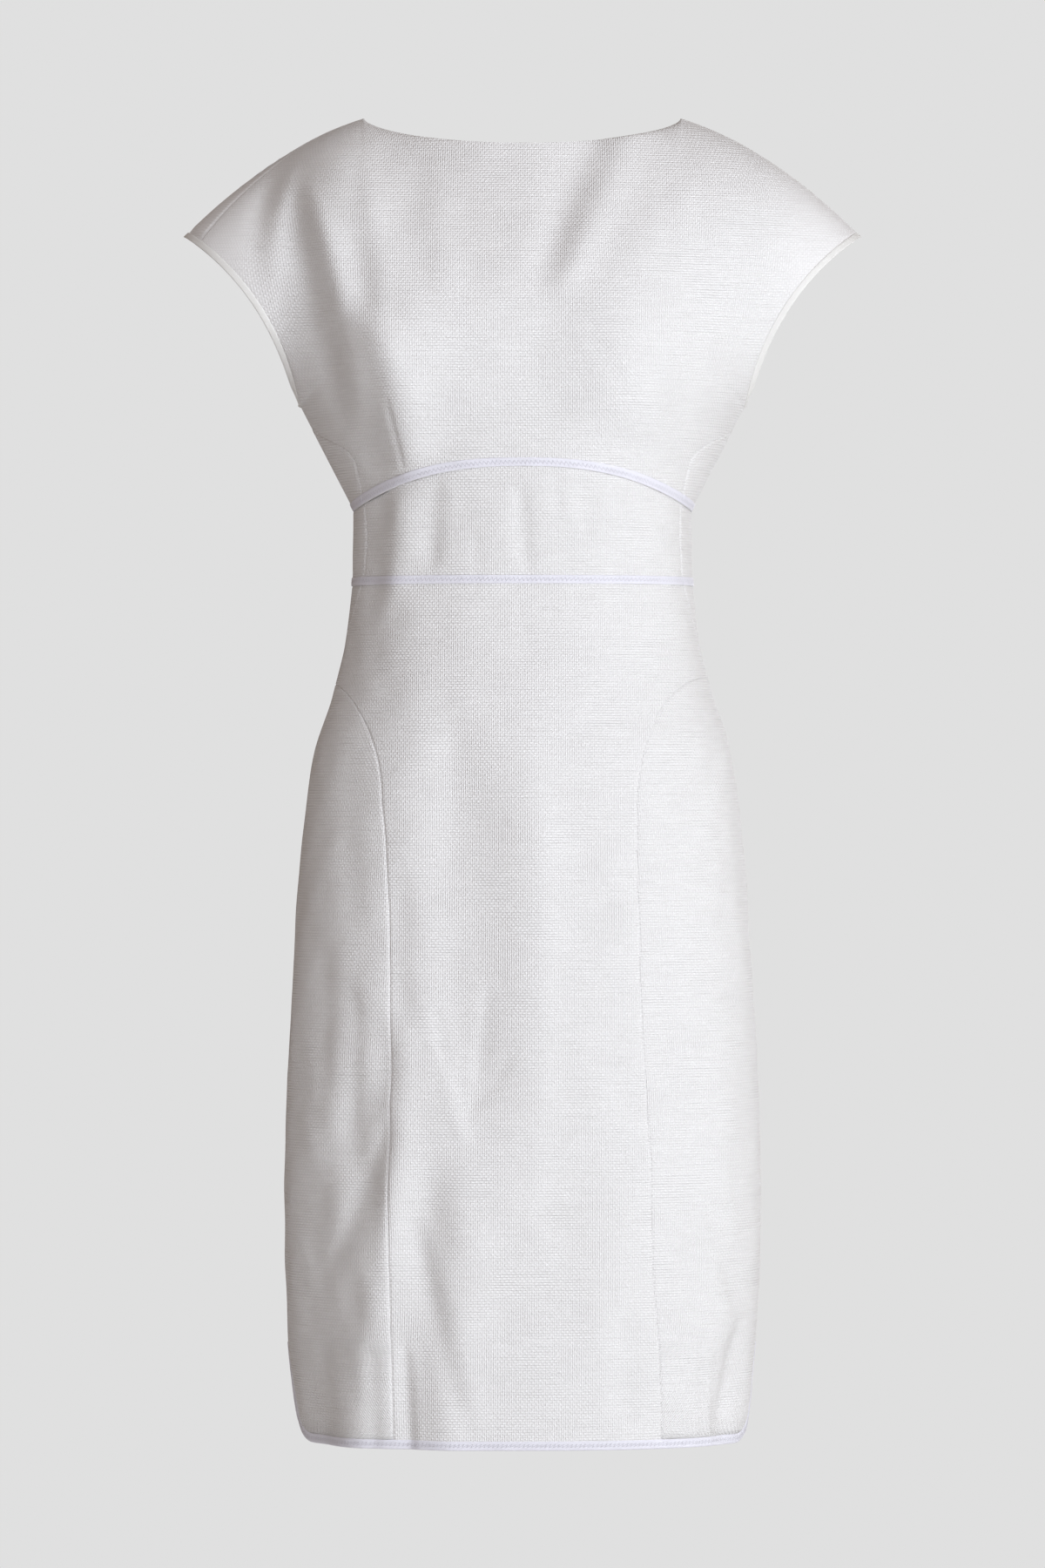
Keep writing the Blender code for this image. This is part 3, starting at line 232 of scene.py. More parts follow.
def crease_depth(creases, face, x, z):
    """How far the creases push the cloth inwards at places seen from the front or back."""
    total = np.zeros(np.broadcast(face, x, z).shape)
    face, x, z = (np.broadcast_to(part, total.shape) for part in (face, x, z))
    t = np.linspace(0, 1, CREASE_PIECES + 1)
    for crease in creases:
        path_x, path_z = (bend(crease.start[k], crease.middle[k], crease.end[k], t)
                          for k in (0, 1))
        reach = CREASE_REACH * crease.width
        near = ((face == crease.face)
                & (x > path_x.min() - reach) & (x < path_x.max() + reach)
                & (z > path_z.min() - reach) & (z < path_z.max() + reach))
        if not near.any():
            continue
        at_x, at_z = x[near], z[near]
        least = np.full(at_x.shape, 1e9)
        along = np.zeros(at_x.shape)
        side = np.zeros(at_x.shape)
        for k in range(CREASE_PIECES):
            run_x, run_z = path_x[k + 1] - path_x[k], path_z[k + 1] - path_z[k]
            away_x, away_z = at_x - path_x[k], at_z - path_z[k]
            share = (away_x * run_x + away_z * run_z) / (run_x ** 2 + run_z ** 2)
            share = np.clip(share, 0, 1)
            off_x, off_z = away_x - share * run_x, away_z - share * run_z
            distance = np.hypot(off_x, off_z)
            closer = distance < least
            least = np.where(closer, distance, least)
            along = np.where(closer, (k + share) / CREASE_PIECES, along)
            side = np.where(closer, off_x / np.maximum(distance, 1e-9), side)
        fade = np.sin(np.pi * along)
        width = crease.width * (1 + crease.lean * side) * (1 - CREASE_TAPER * (1 - fade))
        off = least / width
        push = crease.depth - crease.step * STEP_PEAK * off * side
        total[near] += push * ease(fade * CREASE_FULL) * np.exp(-off ** 2)
    return total


WAVE_COUNT = 26
WAVE_LENGTHS = (0.030, 0.110)
WAVE_DEPTH = 0.00017
WAVE_TURNS = (-0.9, 0.9)     # their directions, turned from level
chance = np.random.default_rng(11)
WAVES = [(chance.uniform(*WAVE_LENGTHS), chance.uniform(*WAVE_TURNS), chance.uniform(0, 6.3))
         for _ in range(WAVE_COUNT)]


def cloth_waves(x, z):
    """Long weak waves that keep the cloth from looking ironed."""
    total = 0.0
    for length, direction, start in WAVES:
        place = (x * np.cos(direction) + z * np.sin(direction)) * 2 * np.pi / length
        total = total + np.sin(place + start) * length / WAVE_LENGTHS[1]
    return total * WAVE_DEPTH


print("creases placed by hand:", len(SKIRT_CREASES + MIDRIFF_CREASES + BODICE_CREASES))

# %% [markdown]
# ## A point and a normal anywhere on the body
#
# The place is given by a turn, 0 at the centre front and half a turn at the centre back,
# and a height. The normal comes from small steps on both sides of the place, which works
# for any surface function and needs no calculus.

# %% The body's surface
NORMAL_STEP = 2e-4
BUST_SEAM_SIDE_Z = -0.2954
BUST_SEAM_RISE = 0.0300
BUST_SEAM_POWER = 2.5
LOW_HALF = BODY_RINGS[1].half_width
SEAM_CALM = 0.35             # how much of a crease is left at the under-bust seam
SEAM_CALM_REACH = 0.020      # and how far below the seam it has its full depth


def bust_seam_z(x):
    share = np.clip(np.abs(x) / LOW_HALF, 0, 1)
    return BUST_SEAM_SIDE_Z + BUST_SEAM_RISE * (1 - share ** BUST_SEAM_POWER)


def body_point(turn, z):
    """The outer face of the cloth below the under-bust seam, creases and all."""
    half = read(BODY_RINGS, z, "half_width")
    power = 2 / read(BODY_RINGS, z, "power")
    front = np.cos(turn) > 0
    face = np.where(front, FRONT, BACK)
    depth = np.where(front, read(BODY_RINGS, z, "front"), read(BODY_RINGS, z, "back"))
    out = np.abs(np.cos(turn)) ** power
    x = half * np.abs(np.sin(turn)) ** power * np.sign(np.sin(turn))
    y = face * depth * out
    by_seam = mix(SEAM_CALM, 1.0, ease((bust_seam_z(x) - z) / SEAM_CALM_REACH))
    inward = crease_depth(MIDRIFF_CREASES + SKIRT_CREASES, face, x, z) * by_seam
    inward = inward * ease(out * FOLD_FADE) + cloth_waves(half * turn, z)
    pull = unit(stack(x * FOLD_LEAN, y, 0.0))
    return stack(x, y, z) - pull * inward[..., None]


def normal_of(surface, u, v):
    across = surface(u + NORMAL_STEP, v) - surface(u - NORMAL_STEP, v)
    along = surface(u, v + NORMAL_STEP) - surface(u, v - NORMAL_STEP)
    return unit(np.cross(across, along))


def body_place(turn, z):
    return body_point(turn, z), normal_of(body_point, turn, z)


def body_turn(side, x, z):
    """The turn at which the front of the body is x from the centre, to that side."""
    share = np.clip(np.abs(x) / read(BODY_RINGS, z, "half_width"), 0, 1)
    return side * np.arcsin(share ** (read(BODY_RINGS, z, "power") / 2))


def side_turn(side, face, away, z):
    """The turn of a place that lies away from the side line, measured along y."""
    depth = read(BODY_RINGS, z, "front" if face == FRONT else "back")
    turn = np.arccos(np.clip(away / depth, 0, 1) ** (read(BODY_RINGS, z, "power") / 2))
    return side * (turn if face == FRONT else np.pi - turn)


print("centre front at the hem:", body_point(np.array(0.0), np.array(HEM_Z)).round(4))

# %% [markdown]
# ## The form of the bodice
#
# The bodice is two sheets, front and back, that meet along the shoulders and down the
# sides. Across runs from -1 to 1 and the row from 0 at the under-bust seam to 1 at the
# shoulders. Past those edges a place is on the other sheet, which lets a seam lie a little
# in front of the true side, as the photo shows. The armhole bows open above the underarm.

# %% Tables of the bodice
NECK_HALF = 0.1189
NECK_DROP = (0.0235, 0.0205)     # of the neckline's middle, front and back
NECK_DEPTH = (0.0660, 0.0560)    # how far in front of and behind the shoulders it lies
SHOULDER_BEND = (0.1848, -0.0205)
SLEEVE_TIP = (0.2514, -0.0862)
SLEEVE_BEND = (0.1816, -0.1362)
UNDERARM = (0.1669, -0.2174)
SLEEVE_BOW = (0.0560, 0.0600)    # the armhole's greatest depth, front and back
SLEEVE_BOW_RISE = 0.62           # the lower, the faster it opens above the underarm
SLEEVE_POWER = 2.2
SLEEVE_OPENING = 0.45
SIDE_SEAM_SHARE = 0.38           # of the height: below it the two sheets are joined
EDGE_PULL = 2.5                  # the higher, the fewer columns follow the side edge
NECK_SHARE = 0.50                # where the neck point lies between centre and sleeve tip
NECK_DIP = 1.15
NECK_FALL = 1.8
CHEST_ROW = 0.5                  # above this row the cloth leans back to the shoulders
CHEST_TURN = 0.45                # and here is that row's share of the height
SIDE_SEAM_ROW = SIDE_SEAM_SHARE / CHEST_TURN * CHEST_ROW
SEAM_JOG = (0.12, 0.22)          # the rows in which the side seam comes back to the side
UNDERARM_ROWS = 0.08
OPEN_REACH = 0.966               # normals are taken no further out, by the armhole
CLOSED_REACH = 0.9998            # and by the side seam
EDGE_BLEND = 0.07                # near a joined edge they lose their forward part
CHEST_BLEND = 0.25               # the height in which the table's depth takes over
RIGHT_SHOULDER_FORWARD = 0.13    # in rows
NECK_SPREAD = 0.40
CORNER_SOFT = 0.16               # the neck point is averaged over so much of the width
CORNER_SAMPLES = 13
CORNER_ROWS_SOFT = 0.34          # and gets sharp again in the highest rows
SIDE_FULLNESS = (0.08, 0.70)     # the height where the side fills out: start and length
ARMHOLE_REACH = 8                # the higher, the nearer to the armhole its bow stays
TAPE_ROW = 0.0285                # the tape covers the rows from 0 to here
CALM_ROWS = 0.08                 # the height above the seam where creases are calm
CUP_START = 0.25

Level = namedtuple("Level", "up front back power")
BODICE_LEVELS = (
    Level(0.00, 0.1060, 0.0925, 2.30),
    Level(0.20, 0.1110, 0.0980, 2.60),
    Level(0.40, 0.1150, 0.1045, 2.90),
    Level(0.60, 0.1130, 0.1060, 3.00),
    Level(0.80, 0.1060, 0.1020, 3.00),
    Level(1.00, 0.0980, 0.0960, 3.00),
)
Cup = namedtuple("Cup", "x z spread_x spread_z depth")
CUPS = (
    Cup(-0.090, -0.195, 0.052, 0.058, 0.0130),
    Cup(0.090, -0.195, 0.052, 0.058, 0.0130),
)
SideSeam = namedtuple("SideSeam", "z forward")
SIDE_SEAM = (
    SideSeam(-0.2954, 0.25),
    SideSeam(-0.3250, 0.25),
    SideSeam(-0.3520, 0.22),
    SideSeam(-0.3750, 0.14),
    SideSeam(-0.4000, 0.04),
    SideSeam(-0.4150, 0.00),
)
Dart = namedtuple("Dart", "top foot depth")
DARTS = (
    Dart((-0.1010, -0.2100), (-0.0865, -0.2690), 0.0013),
    Dart((0.0970, -0.2170), (0.0860, -0.2640), 0.0008),
)
DART_WIDTHS = (0.0050, 0.0010)   # of its slow outer side and of its steep inner side
DART_START = 0.25                # the share of its length in which it reaches its depth
DART_RUN_ON = 1.2                # it runs on past its foot, to the tape
DART_FADE_ROWS = 0.03            # and is flat where it meets the tape

# %% The bodice's surface
def pick(pair, face):
    return np.where(face == FRONT, pair[0], pair[1])


def sheet_side(up, k):
    """The sheet's side edge seen from the front, as x (k 0) or z (k 1)."""
    low = (LOW_HALF, BUST_SEAM_SIDE_Z)[k]
    t = (up - SIDE_SEAM_SHARE) / (1 - SIDE_SEAM_SHARE)
    seam = mix(low, UNDERARM[k], up / SIDE_SEAM_SHARE)
    return np.where(up <= SIDE_SEAM_SHARE, seam,
                    bend(UNDERARM[k], SLEEVE_BEND[k], SLEEVE_TIP[k], t))


def sheet_top(face, across):
    """The sheet's top edge: x, z and depth of the neckline, then the shoulder line."""
    angle = np.clip(across / NECK_SHARE, 0, 1) * np.pi / 2
    round_in = np.abs(np.cos(angle))
    t = np.clip((across - NECK_SHARE) / (1 - NECK_SHARE), 0, 1)
    in_neck = across <= NECK_SHARE
    x = np.where(in_neck, NECK_HALF * np.sin(angle),
                 bend(NECK_HALF, SHOULDER_BEND[0], SLEEVE_TIP[0], t))
    z = np.where(in_neck, -pick(NECK_DROP, face) * round_in ** NECK_DIP,
                 bend(0.0, SHOULDER_BEND[1], SLEEVE_TIP[1], t))
    return x, z, np.where(in_neck, pick(NECK_DEPTH, face) * round_in, 0.0)


def panel_top(face, across, row):
    """The same for a row inside the panel, where the corner at the neck point is soft."""
    reach = np.minimum(CORNER_SOFT, np.minimum(across, 1 - across))
    soft = sum(np.stack(sheet_top(face, across + offset * reach))
               for offset in np.linspace(-1, 1, CORNER_SAMPLES)) / CORNER_SAMPLES
    sharp = ease(1 + (row - 1) / CORNER_ROWS_SOFT)
    return mix(soft, np.stack(np.broadcast_arrays(*sheet_top(face, across))), sharp)


WIDEST = SLEEVE_BOW_RISE / (SLEEVE_BOW_RISE + 0.5)


def bow_share(t):
    most = WIDEST ** SLEEVE_BOW_RISE * np.sqrt(1 - WIDEST)
    return t ** SLEEVE_BOW_RISE * np.sqrt(1 - t) / most


def other_sheet(face, across, row):
    """Places past a sheet's shoulder or side edge, as places on the other sheet."""
    over = row > 1
    face = np.where(over, -face, face)
    row = np.where(over, 2 - row, row)
    side = np.where(across >= 0, 1.0, -1.0)
    across = np.abs(across)
    past = across > 1
    return np.where(past, -face, face), side, np.where(past, 2 - across, across), row


def sheet_point(face, across, row):
    """The outer face of the bodice at a place across the sheet and a row of it."""
    face, side, across, row = other_sheet(face, across, row)
    row = np.maximum(row, 0.0)
    lean = np.clip((row - CHEST_ROW) / (1 - CHEST_ROW), 0, 1) * np.pi / 2
    up = np.where(row <= CHEST_ROW, CHEST_TURN * row / CHEST_ROW,
                  CHEST_TURN + (1 - CHEST_TURN) * np.sin(lean))
    share = np.abs(np.sin(across * np.pi / 2)) ** (2 / BODICE_LEVELS[0].power)
    low_x = LOW_HALF * share
    low_z = np.where(face == FRONT, bust_seam_z(low_x), BUST_SEAM_SIDE_Z)
    top_x, top_z, top_depth = panel_top(face, across, row)
    pull = across ** EDGE_PULL
    x = mix(low_x, top_x, up) + (sheet_side(up, 0) - mix(LOW_HALF, SLEEVE_TIP[0], up)) * pull
    z = mix(low_z, top_z, up) + (sheet_side(up, 1)
                                 - mix(BUST_SEAM_SIDE_Z, SLEEVE_TIP[1], up)) * pull

    t = np.clip((up - SIDE_SEAM_SHARE) / (1 - SIDE_SEAM_SHARE), 0, 1)
    start, length = SIDE_FULLNESS
    inside = ease((up - start) / length) * bow_share(np.maximum(t, WIDEST))
    bow = pick(SLEEVE_BOW, face) * mix(inside, bow_share(t), across ** ARMHOLE_REACH)
    front = face == FRONT
    at_seam = np.where(front, read(BODY_RINGS, low_z, "front"), read(BODY_RINGS, low_z, "back"))
    level = np.where(front, read(BODICE_LEVELS, up, "front"), read(BODICE_LEVELS, up, "back"))
    chest = mix(at_seam, level, ease(up / CHEST_BLEND))
    in_neck = np.exp(-(across / NECK_SPREAD) ** 2)
    fall = mix(np.cos(lean), 1 - np.sin(lean) ** NECK_FALL, in_neck)
    depth = top_depth + (chest - top_depth) * fall
    closed = np.maximum(np.cos(across * np.pi / 2), 0) ** (2 / read(BODICE_LEVELS, up, "power"))
    turned = mix(closed, 1 - across ** SLEEVE_POWER, ease(t / SLEEVE_OPENING))
    depth = bow + (depth - bow) * turned
    inside = np.where(front, ease(turned * FOLD_FADE) * ease(up / CHEST_BLEND + CUP_START), 0.0)
    for cup in CUPS:
        away = ((side * x - cup.x) / cup.spread_x) ** 2 + ((z - cup.z) / cup.spread_z) ** 2
        depth = depth + cup.depth * np.exp(-away) * inside
    calm = ease(turned * FOLD_FADE)
    by_seam = mix(SEAM_CALM, 1.0, ease(up / CALM_ROWS))
    depth = depth - crease_depth(BODICE_CREASES, face, side * x, z) * calm * by_seam
    depth = depth - cloth_waves(side * x, z) * calm
    return stack(side * x, face * depth, z)


def sheet_normal(face, across, row):
    face, side, across, row = other_sheet(face, across, row)
    closed = 1 - ease((row - SIDE_SEAM_ROW) / UNDERARM_ROWS)
    u = side * np.minimum(across, mix(OPEN_REACH, CLOSED_REACH, closed))
    v = np.clip(row, NORMAL_STEP, 1 - NORMAL_STEP)
    normal = normal_of(lambda a, b: sheet_point(face, a, b), u, v) * -face[..., None]
    at_side = ease(1 + (across - 1) / EDGE_BLEND) * closed
    at_shoulder = np.where(across >= NECK_SHARE - 1e-4, ease(1 + (row - 1) / EDGE_BLEND), 0.0)
    normal[..., 1] *= 1 - np.maximum(at_side, at_shoulder)
    return unit(normal)


print("left sleeve tip:", sheet_point(np.array(FRONT), np.array(1.0), np.array(1.0)).round(4))

# %% [markdown]
# ## Laying a piece of cloth
#
# A panel is a thin closed shell. It starts as a flat grid from an operator, one operator
# extrudes it for the inner side, and another divides the edges between, so that the rim can
# be rounded. Then its points move onto the form. The grid keeps its rows and columns, so
# the distance of every point from each edge is known: seam edges roll inwards over the
# last two millimetres, which leaves the fine furrow that a real seam has.
#
# The weave needs to run with the cloth, so each panel gets a UV map in metres: one
# direction follows the rows, the other the columns.

# %% The panel maker
ROLL_DEPTH = 0.0007
ROLL_WIDTH = 0.0010
RIM_CUTS = 2
LOOP_JOIN = 1e-5
EDGE_STEPS = (0.0, 0.0006, 0.0013, 0.0022, 0.0036)
CLOSE_STEPS = len(EDGE_STEPS) - 1
BOTH_SIDES = 0.05            # a piece that reaches this far to both sides has a middle

pieces = {}


def spaced(length, step, low=0.0, high=1.0):
    """Shares of a length, evenly spaced, with closer ones at both seam edges."""
    close = np.array(EDGE_STEPS) / length
    inner = np.linspace(close[-1], 1 - close[-1], max(int(length / step), 2))
    shares = np.concatenate((close[:-1], inner, 1 - close[:-1][::-1]))
    return low + (high - low) * shares


def run_length(points, axis):
    """Distance from the first point along one direction of a grid."""
    segments = np.linalg.norm(np.diff(points, axis=axis), axis=-1)
    total = np.cumsum(segments, axis=axis)
    start = np.zeros_like(np.take(total, [0], axis=axis))
    return np.concatenate((start, total), axis=axis)


def edge_rolls(points, seams):
    """How deep each point lies below the form because a seam edge is near."""
    deepest = 0.0
    for axis, (low, high) in enumerate((seams[:2], seams[2:])):
        start = run_length(points, axis)
        end = np.take(start, [-1], axis=axis) - start
        for distance, seam in ((start, low), (end, high)):
            seam = np.asarray(seam, dtype=float)
            if seam.ndim:
                seam = np.expand_dims(seam, axis)
            deepest = np.maximum(deepest, seam * np.exp(-(distance / ROLL_WIDTH) ** 2))
    return deepest * ROLL_DEPTH


def outward(points, normals):
    """On the edges of a grid, the direction out of the piece; zero inside."""
    away = np.zeros_like(points)
    for take, other, axis in ((0, 1, 0), (-1, -2, 0), (0, 1, 1), (-1, -2, 1)):
        edge = [slice(None)] * 3
        edge[axis] = take
        near = [slice(None)] * 3
        near[axis] = other
        step = points[tuple(edge)] - points[tuple(near)]
        step -= normals[tuple(edge)] * np.sum(step * normals[tuple(edge)], -1, keepdims=True)
        away[tuple(edge)] += unit(step)
    return unit(away)


def grain_levels(points, origin):
    """A UV map whose first direction is level and whose second is height on the cloth."""
    flat = points.copy()
    flat[..., 2] = 0.0
    u = run_length(flat, 0)
    if points[..., 0].min() < -BOTH_SIDES < BOTH_SIDES < points[..., 0].max():
        u -= [np.interp(0.0, x, along) for x, along in zip(points[..., 0].T, u.T)]
    else:
        u -= u[origin][None, :]
    rise = run_length(points, 1)[origin]
    order = np.argsort(points[origin, :, 2])
    heights = points[origin, order, 2]
    past = points[..., 2] - np.clip(points[..., 2], heights[0], heights[-1])
    v = np.interp(points[..., 2], heights, rise[order]) + past * np.sign(rise[-1] - rise[0])
    return u, v


def grain_strip(points, origin):
    return run_length(points, 0), run_length(points, 1)


def lay(name, columns, rows, place, outer=0.0, inner=-WALL, seams=(1, 1, 1, 1),
        trim=SEAM_GAP / 2, grain=grain_levels, origin=0, crown=0.0, loop=False):
    """A closed shell laid on place(column, row), between two offsets from the form."""
    columns, rows = np.asarray(columns), np.asarray(rows)
    points, normals = place(*np.meshgrid(columns, rows, indexing="ij"))
    last_i, last_j = len(columns) - 1, len(rows) - 1
    u, v = grain(points, origin)
    away = outward(points, normals)
    if loop:
        away[0] = away[-1] = 0.0
        away[:, 0] = unit(points[:, 0] - points[:, 1])
        away[:, -1] = unit(points[:, -1] - points[:, -2])
    sink = edge_rolls(points, seams)
    share = (rows - rows[0]) / (rows[-1] - rows[0])
    dome = crown * (1 - (2 * share - 1) ** 2)[None, :]

    bm = bmesh.new()
    bmesh.ops.create_grid(bm, x_segments=last_i, y_segments=last_j, size=0.5)
    made = bmesh.ops.extrude_face_region(bm, geom=bm.faces[:], use_keep_orig=True)
    under = [part for part in made["geom"] if isinstance(part, bmesh.types.BMVert)]
    bmesh.ops.translate(bm, verts=under, vec=(0, 0, -1))
    cross = [edge for edge in bm.edges if abs(edge.verts[0].co.z - edge.verts[1].co.z) > 0.5]
    bmesh.ops.subdivide_edges(bm, edges=cross, cuts=RIM_CUTS, use_grid_fill=True)
    mesh = bpy.data.meshes.new(name)
    bm.to_mesh(mesh)
    bm.free()

    flat = np.empty(len(mesh.vertices) * 3, dtype=np.float32)
    mesh.vertices.foreach_get("co", flat)
    flat = flat.reshape(-1, 3)
    i = np.rint((flat[:, 0] + 0.5) * last_i).astype(int)
    j = np.rint((flat[:, 1] + 0.5) * last_j).astype(int)
    through = -flat[:, 2]
    bulge = abs(outer - inner) / 2 * np.sin(np.pi * through)
    top = outer - sink[i, j] + dome[0, j]
    low = inner - sink[i, j]
    placed = (points[i, j] - away[i, j] * trim + normals[i, j] * mix(top, low, through)[:, None]
              + away[i, j] * bulge[:, None])
    mesh.vertices.foreach_set("co", placed.astype(np.float32).ravel())

    corner = np.empty(len(mesh.loops), dtype=np.int32)
    mesh.loops.foreach_get("vertex_index", corner)
    chart = mesh.uv_layers.new(name="grain")
    pairs = np.stack((u[i, j][corner], v[i, j][corner]), axis=-1)
    chart.data.foreach_set("uv", pairs.astype(np.float32).ravel())
    finish_mesh(name, mesh, loop)


def link_object(name, data):
    made = bpy.data.objects.new(name, data)
    bpy.context.scene.collection.objects.link(made)
    return made


def finish_mesh(name, mesh, loop=False):
    """Close a loop's ends, turn the faces outwards and make the object."""
    bm = bmesh.new()
    bm.from_mesh(mesh)
    if loop:
        bmesh.ops.remove_doubles(bm, verts=bm.verts[:], dist=LOOP_JOIN)
        shared = [face for face in bm.faces if all(len(e.link_faces) > 2 for e in face.edges)]
        bmesh.ops.delete(bm, geom=shared, context="FACES_ONLY")
    bmesh.ops.recalc_face_normals(bm, faces=bm.faces)
    if bm.calc_volume(signed=True) < 0:
        bmesh.ops.reverse_faces(bm, faces=bm.faces)
    bm.to_mesh(mesh)
    bm.free()
    mesh.shade_smooth()
    pieces[name] = link_object(name, mesh)


def report(names):
    for name in names:
        print(f"  {name}: {len(pieces[name].data.polygons)} faces")


# %% [markdown]
# ## Bodice panels
#
# The front bodice is cut in one with the front half of both sleeves, so a single panel
# runs from one sleeve edge to the other. Each dart is a narrow tuck, slow on its outer
# side and steep on its inner one: it starts at nothing near the point of the bust, runs
# down and dies out at the tape. It is too narrow for the grid, which therefore gets closer
# columns there. The two backs meet at the zip and part a little round its slider.

# %% Bodice
GAPE_START_Z = -0.0560
ZIP_TOP_Z = -0.0380
GAPE_HALF = 0.0016
BODICE_STEP = 0.0022
BODICE_LENGTH, BODICE_WIDTH, BACK_WIDTH = 0.26, 0.42, 0.20
DART_COLUMNS = (0.42, 0.495, 34)
ROUND_SIDE = 20              # columns from the side line round to the side seam
ARMHOLE_ROLL = 0.3
SHOULDER_ROLL = 1.6          # the shoulder seams show more than the others


def seam_forward(row):
    start, length = SEAM_JOG
    return SIDE_SEAM[0].forward * (1 - ease((row - start) / length))


def shoulder_forward(across, row):
    rise = ease((row - SIDE_SEAM_ROW) / (1 - SIDE_SEAM_ROW))
    past_neck = np.clip((-across - NECK_SHARE) / (1 - NECK_SHARE), 0, 1)
    return RIGHT_SHOULDER_FORWARD * past_neck * rise


def dart_depth(points):
    total = 0.0
    for dart in DARTS:
        run = np.subtract(dart.foot, dart.top)
        away = points[..., [0, 2]] - np.array(dart.top)
        along = away @ run / (run @ run)
        off = away - run * along[..., None]
        outwards = np.linalg.norm(off, axis=-1) * np.sign(off[..., 0] * dart.top[0])
        width = np.where(outwards > 0, *DART_WIDTHS)
        within = ease(along / DART_START) * (along < DART_RUN_ON)
        total = total + dart.depth * within * np.clip(1 - np.abs(outwards) / width, 0, 1)
    return total


def front_bodice_place(share, row):
    across = share * (1 - seam_forward(row))
    row = row - shoulder_forward(across, row)
    face = np.full(row.shape, FRONT)
    points = sheet_point(face, across, row)
    points[..., 1] += dart_depth(points) * ease((row - TAPE_ROW) / DART_FADE_ROWS)
    return points, sheet_normal(face, across, row)


def back_bodice_place(side):
    """Columns run from 0 at the zip to 1 at the side line, and to 2 at the side seam."""
    def place(column, row):
        forward = seam_forward(row)
        across = np.where(column <= 1, column, 1 + forward * (column - 1))
        row = row + shoulder_forward(side * np.minimum(across, 1.0), row)
        face = np.full(row.shape, BACK)
        points = sheet_point(face, side * across, row)
        gape = GAPE_HALF * ease((points[..., 2] - GAPE_START_Z) / (ZIP_TOP_Z - GAPE_START_Z))
        points[..., 0] += side * gape * (column == 0)
        return points, sheet_normal(face, side * across, row)
    return place


bodice_rows = np.concatenate((np.linspace(0, TAPE_ROW, 4)[:-1],
                              spaced(BODICE_LENGTH, BODICE_STEP, TAPE_ROW, 1.0)))
by_dart = np.linspace(*DART_COLUMNS)
front_columns = np.sort(np.concatenate((spaced(BODICE_WIDTH, BODICE_STEP, -1.0, 1.0),
                                        by_dart, -by_dart)))
back_columns = np.concatenate((spaced(BACK_WIDTH, BODICE_STEP)[:-CLOSE_STEPS],
                               np.linspace(1.0, 2.0, ROUND_SIDE)))
shoulder = (np.abs(front_columns) > NECK_SHARE) * SHOULDER_ROLL
at_side = mix(1.0, ARMHOLE_ROLL, bodice_rows > SIDE_SEAM_ROW)
lay("front_bodice_cloth", front_columns, bodice_rows, front_bodice_place,
    seams=(at_side, at_side, 0, shoulder), origin=int(np.argmin(np.abs(front_columns))))
shoulder = (back_columns > NECK_SHARE).astype(float)
for side, name in SIDE_NAMES.items():
    lay(f"back_bodice_cloth_{name}", back_columns, bodice_rows, back_bodice_place(side),
        seams=(1, 1, 0, shoulder))
report([name for name in pieces if "bodice" in name])

# %% [markdown]
# ## Midriff panels
#
# The midriff is a plain band between the arched under-bust seam and the waist. Its side
# seams lie a little to the front of the sides, so the back panels wrap round and show as
# smooth strips at both edges of the front view.

# %% Midriff
MIDRIFF_STEP = 0.0020
MIDRIFF_HEIGHT, MIDRIFF_WIDTH, BACK_SHARE, WRAPPED_SHARE = 0.075, 0.30, 0.17, 0.03
MIDRIFF_ROLL = 1.6


def seam_turn(side, z):
    return side * np.pi / 2 * (1 - read(SIDE_SEAM, z, "forward"))


def bust_seam_at(turn):
    return bust_seam_z(LOW_HALF * np.abs(np.sin(turn)) ** (2 / BODICE_LEVELS[0].power))


def midriff_front_place(share, down):
    top = bust_seam_at(share * seam_turn(LEFT, BUST_SEAM_SIDE_Z))
    z = mix(top, WAIST_Z, down)
    return body_place(share * seam_turn(LEFT, z), z)


def midriff_back_place(side):
    def place(column, down):
        wrapped = np.clip(column - 1, 0, 1)
        top = bust_seam_at(mix(np.pi / 2, seam_turn(LEFT, BUST_SEAM_SIDE_Z), wrapped))
        z = mix(top, WAIST_Z, down)
        turn = np.where(column <= 1, side * mix(np.pi, np.pi / 2, column),
                        mix(side * np.pi / 2, seam_turn(side, z), wrapped))
        return body_place(turn, z)
    return place


midriff_rows = spaced(MIDRIFF_HEIGHT, MIDRIFF_STEP)
midriff_columns = spaced(MIDRIFF_WIDTH, MIDRIFF_STEP, -1.0, 1.0)
midriff_back_columns = np.concatenate((spaced(BACK_SHARE, MIDRIFF_STEP)[:-CLOSE_STEPS],
                                       1 + spaced(WRAPPED_SHARE, MIDRIFF_STEP)[CLOSE_STEPS:]))
lay("midriff_cloth_front", midriff_columns, midriff_rows, midriff_front_place,
    seams=(MIDRIFF_ROLL, MIDRIFF_ROLL, 1, 0), origin=len(midriff_columns) // 2)
for side, name in SIDE_NAMES.items():
    lay(f"midriff_cloth_back_{name}", midriff_back_columns, midriff_rows,
        midriff_back_place(side), seams=(1, 1, 1, 0))
report([name for name in pieces if "midriff" in name])

# %% [markdown]
# ## Skirt panels
#
# Two curved seams divide the skirt front. Each starts at the side below the waist, rounds
# inwards like the edge of a scooped pocket and then runs down to the hem. A row of the
# front panel is counted by k: below 0 it lies in the yoke, from 0 to CURVE_ROWS its ends
# follow the rounded start of the seams, and after that it runs down to the hem. The side
# and back panels count in the same way, so that neighbours share their edges. Only the
# ends of the rows turn fast with the rounded seams: the middle of the panel turns slowly,
# or a level line would show across it.

